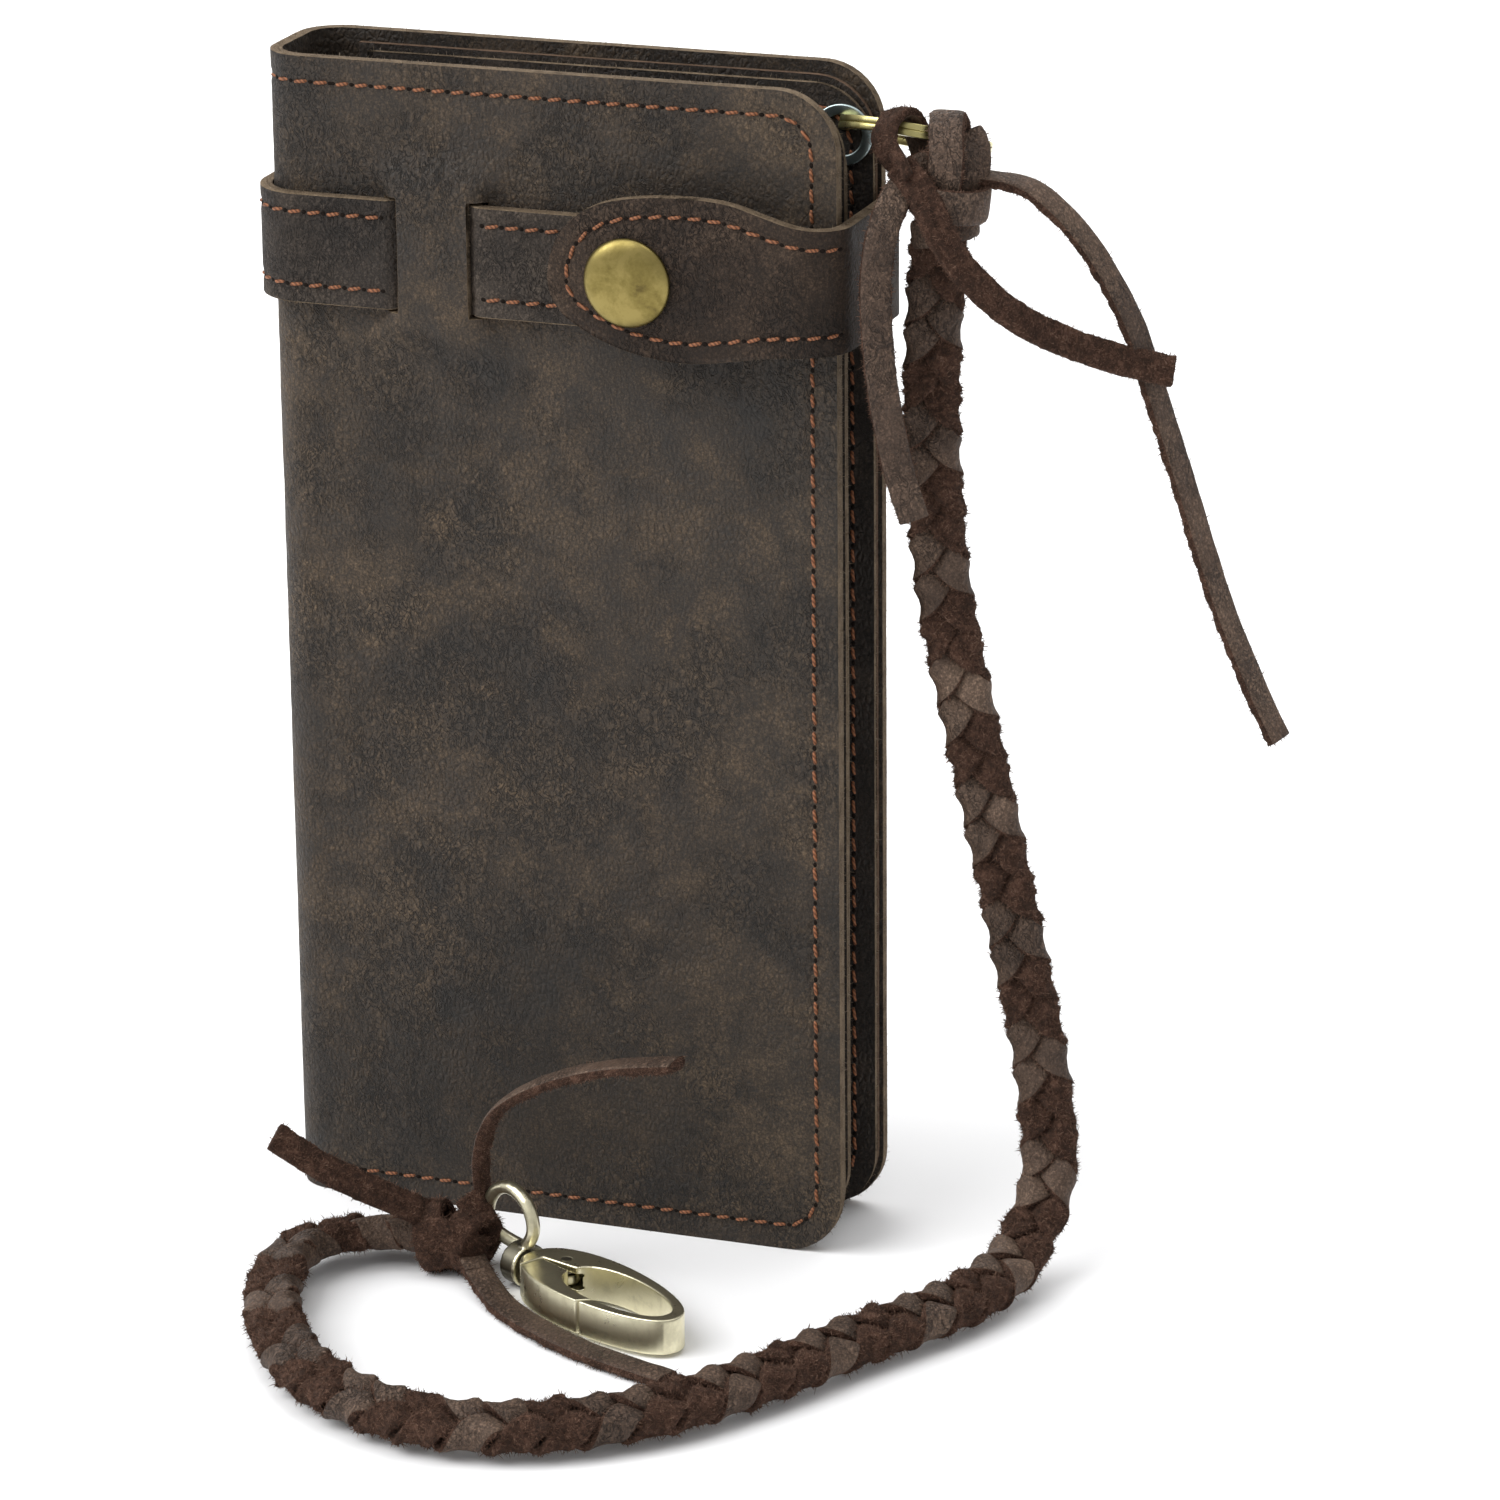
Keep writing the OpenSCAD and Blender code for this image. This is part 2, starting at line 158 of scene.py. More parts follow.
def headings(line):
    """The direction of a line at each of its points."""
    ahead = np.gradient(np.asarray(line, float), axis=0)
    return ahead / np.linalg.norm(ahead, axis=1)[:, None]


def rough(point, scale, seed=0.0):
    """Smooth noise from -1 to 1 at a point given in millimetres; scale is the size of its lumps."""
    x, y, z = point
    return noise.noise(Vector((x / scale + seed, y / scale - seed, z / scale + 2 * seed)))


def add_object(name, data):
    obj = bpy.data.objects.new(name, data)
    bpy.context.scene.collection.objects.link(obj)
    return obj


def shade_smooth(mesh):
    mesh.polygons.foreach_set("use_smooth", [True] * len(mesh.polygons))


def make_object(name, points, faces, materials, face_material=None):
    """A smooth mesh object from millimetre points; face_material is the number of each face's material."""
    mesh = bpy.data.meshes.new(name)
    mesh.from_pydata(to_frame(points).tolist(), [], [list(map(int, f)) for f in faces])
    for material in materials:
        mesh.materials.append(material)
    if face_material is not None:
        mesh.polygons.foreach_set("material_index", np.asarray(face_material, np.int32))
    shade_smooth(mesh)
    mesh.update()
    return add_object(name, mesh)


def keep_rest(obj):
    """Keeps the resting place of each point in mm, so that a pattern doesn't slide when the piece bends."""
    mesh = obj.data
    flat = np.empty(len(mesh.vertices) * 3, np.float32)
    mesh.vertices.foreach_get("co", flat)
    attribute = mesh.attributes.get("rest") or mesh.attributes.new("rest", "FLOAT_VECTOR", "POINT")
    attribute.data.foreach_set("vector", flat / MM)


def modify(obj, kind, **settings):
    modifier = obj.modifiers.new(kind.lower(), kind)
    for key, value in settings.items():
        setattr(modifier, key, value)


def apply_modifiers(obj):
    mesh = bpy.data.meshes.new_from_object(obj.evaluated_get(bpy.context.evaluated_depsgraph_get()))
    obj.modifiers.clear()
    obj.data = mesh


def displace(obj, push):
    """Moves each point along its normal by push(point in mm), in mm."""
    mesh = obj.data
    count = len(mesh.vertices)
    co, normal = np.empty(count * 3), np.empty(count * 3)
    mesh.vertices.foreach_get("co", co)
    mesh.vertex_normals.foreach_get("vector", normal)
    co, normal = co.reshape(-1, 3), normal.reshape(-1, 3)
    local = co / MM
    local[:, 1] -= MID_Y
    co += normal * np.array([push(p) for p in local])[:, None] * MM
    mesh.vertices.foreach_set("co", co.ravel())
    mesh.update()


def settle(obj, body, replaced=(), blend=None):
    """Keeps a piece's resting place and puts it on its body, or with a blend leaves it fixed where it
    stands, and hides the CAD nodes it stands for.
    """
    keep_rest(obj)
    if blend:
        a, b, start, end = blend
        to_frame([start])[0]
        to_frame([end])[0]
        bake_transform(obj)
    else:
        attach(obj, body)
    if replaced:
        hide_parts(*replaced)
    return obj


# ---- materials ----

class Nodes:
    """A new material with short calls for its nodes."""

    def __init__(self, name):
        self.material = bpy.data.materials.new(name)
        self.material.use_nodes = True
        self.tree = self.material.node_tree
        self.shader = self.tree.nodes["Principled BSDF"]

    def add(self, kind, inputs=None, **settings):
        node = self.tree.nodes.new(kind)
        for key, value in settings.items():
            setattr(node, key, value)
        for key, value in (inputs or {}).items():
            self.put(node, key, value)
        return node

    def put(self, node, key, value):
        if isinstance(value, bpy.types.NodeSocket):
            self.tree.links.new(value, node.inputs[key])
        else:
            node.inputs[key].default_value = value

    def place(self):
        """The point in millimetres, at rest."""
        return self.add("ShaderNodeAttribute", attribute_name="rest").outputs["Vector"]

    def stretch(self, where, factors):
        return self.add("ShaderNodeVectorMath", {0: where, 1: factors}, operation="MULTIPLY").outputs[0]

    def noise(self, where, size, detail=4.0, roughness=0.55, distortion=0.0):
        inputs = {"Vector": where, "Scale": 1 / size, "Detail": detail, "Roughness": roughness,
                  "Distortion": distortion}
        return self.add("ShaderNodeTexNoise", inputs).outputs["Fac"]

    def cells(self, where, size):
        """Distance from the border of cells of a size in mm."""
        inputs = {"Vector": where, "Scale": 1 / size}
        return self.add("ShaderNodeTexVoronoi", inputs, feature="DISTANCE_TO_EDGE").outputs["Distance"]

    def ramp(self, value, stops):
        node = self.add("ShaderNodeValToRGB", {"Fac": value})
        bar = node.color_ramp
        while len(bar.elements) < len(stops):
            bar.elements.new(0.5)
        for element, (at, colour) in zip(bar.elements, stops):
            element.position = at
            element.color = (*colour, 1) if isinstance(colour, tuple) else (colour, colour, colour, 1)
        return node.outputs["Color"]

    def mix(self, factor, a, b, kind="MIX"):
        node = self.add("ShaderNodeMix", data_type="RGBA", blend_type=kind)
        for socket, value in ((0, factor), (6, a), (7, b)):
            value = (*value, 1) if isinstance(value, tuple) else value
            self.put(node, socket, value)
        return node.outputs[2]

    def math(self, kind, a, b=0.0):
        return self.add("ShaderNodeMath", {0: a, 1: b}, operation=kind).outputs[0]

    def weigh(self, *shares):
        """The sum of values, each times its own weight."""
        parts = [self.math("MULTIPLY", value, weight) for value, weight in shares]
        total = parts[0]
        for part in parts[1:]:
            total = self.math("ADD", total, part)
        return total

    def invert(self, value):
        return self.math("SUBTRACT", 1.0, value)

    def bump(self, height, depth, strength=1.0, under=None):
        inputs = {"Height": height, "Distance": depth * MM, "Strength": strength}
        if under is not None:
            inputs["Normal"] = under
        return self.add("ShaderNodeBump", inputs).outputs["Normal"]

    def finish(self, **inputs):
        for key, value in inputs.items():
            self.put(self.shader, key.replace("_", " "), value)
        return self.material


def leather(name, dark, middle, light, gloss=0.0, shine=0.34):
    """Waxed pull-up leather: clouded colour, pebbled grain, small creases and paler rubbed tops, with
    painted shade in the crevices of the grain and in the creases.
    """
    n = Nodes(name)
    where = n.place()
    clouds = n.noise(where, 34.0, 5.0, 0.6, 0.6)
    patches = n.noise(where, 8.0, 4.0, 0.62, 0.5)
    fine = n.noise(where, 0.9, 5.0, 0.72)
    mottle = n.weigh((clouds, 0.48), (patches, 0.34), (fine, 0.18))
    colour = n.ramp(mottle, [(0.38, dark), (0.5, middle), (0.63, light)])
    warp = n.add("ShaderNodeTexNoise", {"Vector": where, "Scale": 0.5, "Detail": 3.0}).outputs["Color"]
    bent = n.mix(0.9, where, warp, "ADD")
    slanted = n.add("ShaderNodeMapping", {"Vector": bent, "Rotation": (0.0, math.radians(28), 0.0),
                                          "Scale": (1.25, 1.0, 0.8)}).outputs["Vector"]
    pebbles = n.ramp(n.cells(slanted, 1.25), [(0.0, 0.0), (0.30, 1.0)])
    pebble_zone = n.ramp(n.noise(where, 22.0, 3.0, 0.6), [(0.38, 0.25), (0.62, 1.0)])
    folds = n.ramp(n.noise(slanted, 1.9, 3.0, 0.55, 1.5), [(0.45, 1.0), (0.5, 0.0), (0.55, 1.0)])
    fold_zone = n.ramp(n.noise(where, 15.0, 2.0), [(0.42, 0.0), (0.60, 1.0)])
    deep = n.math("MULTIPLY", n.invert(folds), fold_zone)
    speck = n.ramp(n.noise(where, 0.38, 3.0, 0.8), [(0.30, 0.42), (0.5, 1.0), (0.68, 2.3)])
    colour = n.mix(1.0, colour, speck, "MULTIPLY")
    # painted shade: darker colour in the crevices between the pebbles of the grain
    colour = n.mix(n.math("MULTIPLY", n.invert(pebbles), 0.45), colour, dark)
    # painted shade: darker colour in the creases
    colour = n.mix(n.math("MULTIPLY", deep, 0.55), colour, dark)
    scuffs = n.ramp(n.noise(slanted, 1.5, 6.0, 0.75, 1.5), [(0.60, 0.0), (0.72, 1.0)])
    colour = n.mix(n.math("MULTIPLY", scuffs, 0.55), colour, light)
    grain = n.math("MULTIPLY", pebbles, pebble_zone)
    normal = n.bump(n.weigh((grain, 0.5), (fine, 0.5)), 0.34)
    normal = n.bump(n.invert(deep), 0.34, under=normal)
    gloss_map = n.ramp(patches, [(0.3, 0.50 - gloss), (0.7, 0.70 - gloss)])
    return n.finish(Base_Color=colour, Roughness=gloss_map, Normal=normal, Specular_IOR_Level=shine)


def raw_edge(name, dark, light):
    """Cut edge of leather: pale, matted fibres."""
    n = Nodes(name)
    where = n.place()
    fibres = n.noise(n.stretch(where, (1.0, 2.0, 1.0)), 0.45, 5.0, 0.8, 0.5)
    spots = n.noise(where, 3.0, 3.0, 0.6)
    tone = n.weigh((fibres, 0.65), (spots, 0.35))
    colour = n.ramp(tone, [(0.36, dark), (0.62, light)])
    normal = n.bump(fibres, 0.3, 0.9)
    return n.finish(Base_Color=colour, Roughness=0.93, Normal=normal, Specular_IOR_Level=0.2)


def suede(name, dark, middle, light):
    """Flesh side of a lace: matted nap with lighter fibre ends."""
    n = Nodes(name)
    where = n.place()
    nap = n.noise(where, 0.7, 6.0, 0.88, 0.9)
    tufts = n.noise(where, 2.4, 3.0, 0.6, 0.5)
    tone = n.weigh((nap, 0.7), (tufts, 0.3))
    colour = n.ramp(tone, [(0.41, dark), (0.50, middle), (0.60, light)])
    normal = n.bump(nap, 0.9)
    return n.finish(Base_Color=colour, Roughness=0.96, Normal=normal, Specular_IOR_Level=0.12,
                    Sheen_Weight=0.12, Sheen_Roughness=0.6, Sheen_Tint=(0.8, 0.55, 0.42, 1))


def thread(name, dark, light):
    """Two-ply waxed thread."""
    n = Nodes(name)
    where = n.place()
    twist = n.add("ShaderNodeTexWave", {"Vector": where, "Scale": 0.75, "Distortion": 0.6},
                  bands_direction="DIAGONAL")
    fuzz = n.noise(where, 0.25, 3.0, 0.7)
    tone = n.weigh((twist.outputs["Fac"], 0.5), (fuzz, 0.5))
    colour = n.ramp(tone, [(0.25, dark), (0.7, light)])
    normal = n.bump(tone, 0.12, 0.8)
    return n.finish(Base_Color=colour, Roughness=0.62, Normal=normal, Specular_IOR_Level=0.35)


def metal(name, bright, worn, dark, rough_low, rough_high, wear=0.5):
    """Antiqued plating: satin, faintly patchy, with painted shade darkening its corners and edges made
    brighter as wear and as a painted highlight.
    """
    n = Nodes(name)
    where = n.place()
    patina = n.noise(where, 6.0, 4.0, 0.6, 0.4)
    grain = n.noise(where, 0.6, 4.0, 0.7)
    tone = n.weigh((patina, 0.8), (grain, 0.2))
    colour = n.mix(wear, bright, n.ramp(tone, [(0.36, dark), (0.46, worn), (0.58, bright)]))
    point = n.add("ShaderNodeNewGeometry").outputs["Pointiness"]
    # painted shade: darker where the surface is hollow, in corners and recesses
    colour = n.mix(n.math("MULTIPLY", n.ramp(point, [(0.40, 1.0), (0.485, 0.0)]), 0.85), colour, dark)
    # brighter on sharp edges: edge wear and a painted highlight
    colour = n.mix(n.math("MULTIPLY", n.ramp(point, [(0.52, 0.0), (0.60, 1.0)]), 0.6), colour, bright)
    roughness = n.ramp(tone, [(0.36, rough_high), (0.6, rough_low)])
    normal = n.bump(grain, 0.012, 0.4)
    return n.finish(Base_Color=colour, Metallic=1.0, Roughness=roughness, Normal=normal)


def pit(name):
    """Painted shade for the holes that the thread goes down into: a dark colour in place of the holes'
    shade.
    """
    n = Nodes(name)
    shade = n.ramp(n.noise(n.place(), 0.4), [(0.3, (0.004, 0.003, 0.002)), (0.7, (0.014, 0.009, 0.007))])
    return n.finish(Base_Color=shade, Roughness=0.9, Specular_IOR_Level=0.1)


# Colours are dark, middle and light; the other leathers are duller than the cover's
DULL = -0.06
COVER = leather("cover_leather", (0.0128, 0.0100, 0.0077), (0.0338, 0.0232, 0.0148), (0.083, 0.056, 0.033))
TAB = leather("tab_leather", (0.013, 0.0080, 0.0052), (0.032, 0.0203, 0.0134), (0.066, 0.044, 0.030),
              DULL, shine=0.2)
STRAP = leather("strap_leather", (0.014, 0.0105, 0.0082), (0.036, 0.0275, 0.0215), (0.080, 0.062, 0.047),
                DULL, shine=0.22)
POCKET = leather("pocket_leather", (0.012, 0.0085, 0.0062), (0.025, 0.0180, 0.0130), (0.050, 0.037, 0.027),
                 DULL)
LACE_SKIN = leather("lace_skin", (0.038, 0.0225, 0.0147), (0.084, 0.0530, 0.0365), (0.134, 0.089, 0.062),
                    DULL, shine=0.28)
EDGE = raw_edge("raw_edge", (0.050, 0.033, 0.020), (0.25, 0.185, 0.12))
# a darker copy of the raw edge for edges hidden inside the wallet: painted shade
EDGE_SHADED = raw_edge("raw_edge_shaded", (0.045, 0.026, 0.017), (0.18, 0.115, 0.075))
SUEDE = suede("suede", (0.012, 0.0052, 0.0032), (0.050, 0.0225, 0.0140), (0.165, 0.085, 0.057))
FUZZ = suede("suede_fibres", (0.050, 0.0230, 0.0150), (0.150, 0.078, 0.052), (0.34, 0.210, 0.150))
FUZZ_PALE = suede("edge_fibres", (0.10, 0.075, 0.05), (0.20, 0.155, 0.11), (0.36, 0.30, 0.22))
THREAD = thread("thread", (0.10, 0.034, 0.014), (0.29, 0.112, 0.048))
# dark ovals at the stitch holes: painted shade
PIT = pit("stitch_hole_shade")

# Plated metals: bright, worn and dark colours, lowest and highest roughness
BRASS = metal("antique_brass", (0.80, 0.755, 0.55), (0.64, 0.59, 0.40), (0.24, 0.21, 0.12),
              0.27, 0.36, wear=0.35)
RING_BRASS = metal("ring_brass", (0.56, 0.50, 0.22), (0.40, 0.35, 0.14), (0.17, 0.14, 0.05),
                   0.25, 0.38, wear=0.6)
BRASS_CAP = metal("snap_brass", (0.29, 0.23, 0.080), (0.21, 0.165, 0.052), (0.125, 0.095, 0.034),
                  0.34, 0.46, wear=1.0)
BRONZE = metal("dark_bronze", (0.26, 0.24, 0.18), (0.13, 0.12, 0.09), (0.045, 0.04, 0.03), 0.30, 0.45)
STEEL = metal("eyelet_metal", (0.42, 0.50, 0.50), (0.28, 0.34, 0.34), (0.12, 0.14, 0.13), 0.28, 0.42)


# ---- camera, light and floor ----

CAMERA_TURN = math.radians(19.897)
CAMERA_RISE = math.radians(18.606)
CAMERA_ROLL = math.radians(-0.504)
CAMERA_TARGET = Vector((29.522, MID_Y, 81.948)) * MM
CAMERA_DISTANCE = 1.057874
LENS_MM = 155.75
SENSOR_MM = 36.0
FLOOR_REACH = 6.0
SKY = 0.62
SUN = 1.9
SUN_SPREAD = math.radians(48)
SUN_HEADING = Vector((0.62, 0.55, -0.95))


def make_camera():
    level = math.cos(CAMERA_RISE)
    back = Vector((math.sin(CAMERA_TURN) * level, -math.cos(CAMERA_TURN) * level, math.sin(CAMERA_RISE)))
    data = bpy.data.cameras.new("camera")
    data.lens = LENS_MM
    data.sensor_width = SENSOR_MM
    data.clip_start = 0.05
    data.clip_end = 20
    camera = add_object("camera", data)
    camera.location = CAMERA_TARGET + back * CAMERA_DISTANCE
    camera.rotation_mode = "QUATERNION"
    camera.rotation_quaternion = (-back).to_track_quat("-Z", "Y") @ Quaternion((0, 0, 1), CAMERA_ROLL)
    bpy.context.scene.camera = camera


def area_light(name, place, target, size, power, colour=(1, 1, 1)):
    data = bpy.data.lights.new(name, "AREA")
    data.shape = "SQUARE"
    data.size = size
    data.energy = power
    data.color = colour
    light = add_object(name, data)
    light.location = place
    light.rotation_euler = (Vector(target) - Vector(place)).to_track_quat("-Z", "Y").to_euler()


def make_floor():
    reach = FLOOR_REACH
    mesh = bpy.data.meshes.new("floor")
    corners = [(-reach, -reach, 0), (reach, -reach, 0), (reach, reach, 0), (-reach, reach, 0)]
    mesh.from_pydata(corners, [], [(0, 1, 2, 3)])
    floor = add_object("floor", mesh)
    n = Nodes("studio_floor")
    where = n.add("ShaderNodeTexCoord").outputs["Object"]
    where = n.add("ShaderNodeVectorMath", {0: where, "Scale": 1 / MM}, operation="SCALE").outputs[0]
    tone = n.ramp(n.noise(where, 400.0), [(0.0, (0.93, 0.93, 0.935)), (1.0, (0.95, 0.95, 0.955))])
    mesh.materials.append(n.finish(Base_Color=tone, Roughness=0.9, Specular_IOR_Level=0.1))


def make_lights():
    world = bpy.data.worlds.new("studio")
    bpy.context.scene.world = world
    world.use_nodes = True
    sky = world.node_tree.nodes["Background"].inputs
    sky["Color"].default_value = (1.0, 1.0, 1.0, 1)
    sky["Strength"].default_value = SKY
    sun = bpy.data.lights.new("window", "SUN")
    sun.energy = SUN
    sun.angle = SUN_SPREAD
    window = add_object("window", sun)
    window.rotation_euler = SUN_HEADING.to_track_quat("-Z", "Y").to_euler()
    area_light("top_light", (0.1, 0.25, 1.3), (0.03, 0, 0.08), 1.2, 7.0)
    area_light("left_light", (-1.0, -0.55, 0.75), (0, 0, 0.1), 0.5, 4.0, (0.96, 0.98, 1.0))
    area_light("back_light", (-0.5, 0.9, 0.7), (0, 0, 0.12), 0.7, 4.0)


bpy.context.scene.view_settings.view_transform = "Standard"
make_camera()
make_floor()
make_lights()


# ---- ribbons: laces, knots and the braid ----

LACE_SIDES = 20
LACE_STEP = 0.6
LACE_NAP = 0.32
FOLD_SPAN = math.radians(112)
PLAIT_STEP = 0.5
PLAIT_LACES = 3
PLAIT_LACE_W = 5.3
PLAIT_NAP = 0.55
EDGE_EASE = 0.88
KNOT_LACE_T = 1.7


def grid_faces(rows, columns, closed=False):
    """The faces of a grid of points kept row by row; closed joins the two ends of each row."""
    faces = []
    for j in range(rows - 1):
        for i in range(columns if closed else columns - 1):
            a = j * columns + i
            b = j * columns + (i + 1) % columns
            faces.append((a, b, b + columns, a + columns))
    return faces


def ribbon_section(width, thick):
    """Outline of a lace's cut, with a soft edge. The first half of its points is the grain side."""
    section = []
    for i in range(LACE_SIDES):
        angle = 2 * math.pi * (i + 0.5) / LACE_SIDES
        c, s = math.cos(angle), math.sin(angle)
        u = width / 2 * math.copysign(abs(c) ** 0.42, c)
        v = thick / 2 * math.copysign(abs(s) ** 0.6, s)
        section.append((u, v))
    return section


def ribbon(line, across, over, width=LACE_W, thick=LACE_T, seed=0.0, nap=LACE_NAP):
    """Points, faces and face materials (0 grain, 1 nap) of a lace along a line, with its nap's height in
    mm. over points out of its grain side."""
    section = ribbon_section(width, thick)
    grain_from = 0.25 * thick
    m = len(section)
    points = []
    for i, at in enumerate(line):
        for u, v in section:
            p = at + across[i] * u + over[i] * v
            shift = 0.10 * rough(p, 3.5, seed + 7)
            if v < grain_from:
                shift += nap * (0.8 * rough(p, 0.75, seed) + 0.8 * rough(p, 1.9, seed + 3))
            out = across[i] * (u / (width / 2)) * 0.6 + over[i] * (v / (thick / 2))
            points.append(p + out * shift)
    faces = grid_faces(len(line), m, closed=True)
    kinds = [0 if min(section[f[0] % m][1], section[f[1] % m][1]) > grain_from else 1 for f in faces]
    for end, order in ((0, range(m - 1, -1, -1)), (len(line) - 1, range(m))):
        points.append(np.mean([points[end * m + k] for k in range(m)], axis=0))
        centre = len(points) - 1
        ring = [end * m + k for k in order]
        for k in range(m):
            faces.append((ring[k], ring[(k + 1) % m], centre))
            kinds.append(1)
    return points, faces, kinds


def ribbon_over(line, outward, width, thick, seed, face=1, nap=LACE_NAP):
    """A ribbon along a line whose grain side, or nap with face -1, faces as near to outward as it can."""
    ahead = headings(line)
    over = np.array([unit(o - a * np.dot(o, a)) for o, a in zip(outward, ahead)])
    return ribbon(line, np.cross(over, ahead) * face, over * face, width, thick, seed, nap)


def frames_from_side(line, side):
    """Across and over directions of a flat lace whose width lies as near to side as it can."""
    ahead = headings(line)
    across = np.array([unit(np.cross(a, np.cross(side, a))) for a in ahead])
    over = np.array([np.cross(a, c) for a, c in zip(ahead, across)])
    return across, over


def join_parts(parts):
    """Several (points, faces, kinds) as one."""
    points, faces, kinds = [], [], []
    for p, f, k in parts:
        base = len(points)
        points.extend(p)
        faces.extend([tuple(base + i for i in face) for face in f])
        kinds.extend(k)
    return points, faces, kinds


def add_fuzz(name, obj, density, length, width, material, seed, body, blend=None):
    """Loose fibres on the faces of obj with its second material, density of them to a square mm: thin bent
    slivers that ride as obj does."""
    draw = random.Random(seed)

    def any_way():
        return Vector((draw.uniform(-1, 1), draw.uniform(-1, 1), draw.uniform(-1, 1)))

    mesh = obj.data
    points, faces = [], []
    for face in mesh.polygons:
        if face.material_index != 1:
            continue
        expected = face.area / MM ** 2 * density
        for _ in range(int(expected) + (1 if draw.random() < expected % 1 else 0)):
            corners = [mesh.vertices[i].co for i in face.vertices]
            weights = [draw.random() + 0.05 for _ in corners]
            at = sum((c * w for c, w in zip(corners, weights)), Vector()) / sum(weights) / MM
            at.y -= MID_Y
            lean = any_way()
            out = (face.normal + 0.9 * lean).normalized()
            curl = any_way() * 0.6
            wide = out.cross(lean).normalized() * width / 2
            size = length * (0.35 + 0.65 * draw.random() ** 2)
            base = len(points)
            root = at - out * 0.1
            middle = at + out * size * 0.5 + curl * size * 0.3
            tip = at + out * size * 0.85 + curl * size
            points.extend([root - wide, root + wide, middle - wide, middle + wide, tip])
            faces.extend([(base, base + 1, base + 3, base + 2), (base + 2, base + 3, base + 4)])
    return settle(make_object(name, points, faces, [material]), body, (), blend)


def make_lace(name, route, side, outer, body):
    """A free lace whose width lies along side; outer says which way its grain faces."""
    line = resample(spline(route, 12), LACE_STEP)
    across, over = frames_from_side(line, side)
    points, faces, kinds = ribbon(line, across * outer, over * outer, seed=len(name) * 1.7)
    lace = make_object(name + "_skin", points, faces, [LACE_SKIN, SUEDE], kinds)
    settle(lace, body, [name])
    hairs = add_fuzz(name + "_fuzz", lace, 4.6, 0.95, 0.11, FUZZ, len(name), body)
    path = spline(route, 2)
    to_frame([route[0]])[0]
    to_frame(path).tolist()


def carried_frames(line, first):
    """Directions that turn as little as they can along a line, starting as near to first as they can."""
    ahead = headings(line)
    front = [unit(np.cross(ahead[0], np.cross(first, ahead[0])))]
    for i in range(1, len(line)):
        v = front[-1] - ahead[i] * np.dot(front[-1], ahead[i])
        front.append(unit(v))
    front = np.array(front)
    return front, np.array([np.cross(a, f) for a, f in zip(ahead, front)])


def lace_turn(phase):
    """How far a plait's strand has turned its grain side over: it folds at each edge of the plait."""
    q = (phase - math.pi / 2 + FOLD_SPAN / 2) % (2 * math.pi)
    if q < math.pi:
        return math.pi * smoothstep(q / FOLD_SPAN)
    return math.pi * (1 - smoothstep((q - math.pi) / FOLD_SPAN))


def plait(line, spread, depth, period):
    """A flat plait of laces that fold over at its edges, so that grain and nap show by turns."""
    line = resample(line, PLAIT_STEP)
    front, lateral = carried_frames(line, (0.25, -1, 0))
    parts = []
    for k in range(PLAIT_LACES):
        centre, outward = [], []
        for i, at in enumerate(line):
            phase = 2 * math.pi * (i * PLAIT_STEP / period + k / PLAIT_LACES)
            wide = spread * math.asin(EDGE_EASE * math.sin(phase)) / math.asin(EDGE_EASE)
            deep = depth * math.sin(2 * phase)
            centre.append(at + lateral[i] * wide + front[i] * deep)
            turn = lace_turn(phase)
            outward.append(front[i] * math.cos(turn) + lateral[i] * math.sin(turn))
        # the first lace is plaited in with its nap where the others have their grain
        face = -1 if k == 0 else 1
        parts.append(ribbon_over(np.array(centre), outward, PLAIT_LACE_W, LACE_T, 11.0 + 5 * k, face,
                                 PLAIT_NAP))
    return join_parts(parts)


def above_floor(points, lowest):
    return [np.array((x, y, max(z, lowest))) for x, y, z in points]


def make_braid():
    line = spline([(62.3, -1, 171)] + BRAID_ROUTE[1:-1] + [(-10.5, -37.2, 5.5)], 12)
    points, faces, kinds = plait(line, 3.3, 1.8, 20.7)
    points = above_floor(points, 0.15)
    braid = make_object("braid_laces", points, faces, [LACE_SKIN, SUEDE], kinds)
    settle(braid, "lanyard", ["braid"])
    hairs = add_fuzz("braid_fuzz", braid, 6.0, 1.05, 0.12, FUZZ, 5, "lanyard")
    path = spline(BRAID_ROUTE, 2)
    to_frame([BRAID_ROUTE[0]])[0]
    to_frame(path).tolist()


def band(centre, axis, radius, width, tilt=0.0, squash=1.0, seed=0.0):
    """A lace wound once round an axis, grain side out, as part of a knot."""
    axis = unit(axis)
    first = unit(np.cross(axis, (0.3, 0.9, 0.2)))
    second = np.cross(axis, first)
    line = []
    for angle in np.linspace(0, 2 * math.pi, 61):
        r = radius * (1 + 0.03 * math.sin(3 * angle + seed))
        round_it = first * r * math.cos(angle) + second * r * squash * math.sin(angle)
        line.append(np.array(centre) + round_it + axis * tilt * math.sin(angle + seed))
    line = np.array(line)
    outward = line - np.array(centre)
    outward -= np.outer(outward @ axis, axis)
    return ribbon_over(line, outward, width, KNOT_LACE_T, seed)


def strip(route, over_hint, width, seed):
    """A lace through a knot. over_hint is where its grain side faces: one direction, or several that it
    turns through."""
    line = resample(spline(route, 10), LACE_STEP)
    hints = np.atleast_2d(np.array(over_hint, float))
    at = np.linspace(0, len(hints) - 1, len(line))
    hints = np.stack([np.interp(at, range(len(hints)), hints[:, k]) for k in range(3)], 1)
    return ribbon_over(line, hints, width, KNOT_LACE_T, seed)


def tail(route, lace, seed):
    """The hidden start of a free lace, on its way out of a knot."""
    line = resample(spline(route, 8), LACE_STEP)
    across, over = frames_from_side(line, LACES[lace]["side"])
    return ribbon(line, across, over, seed=seed)


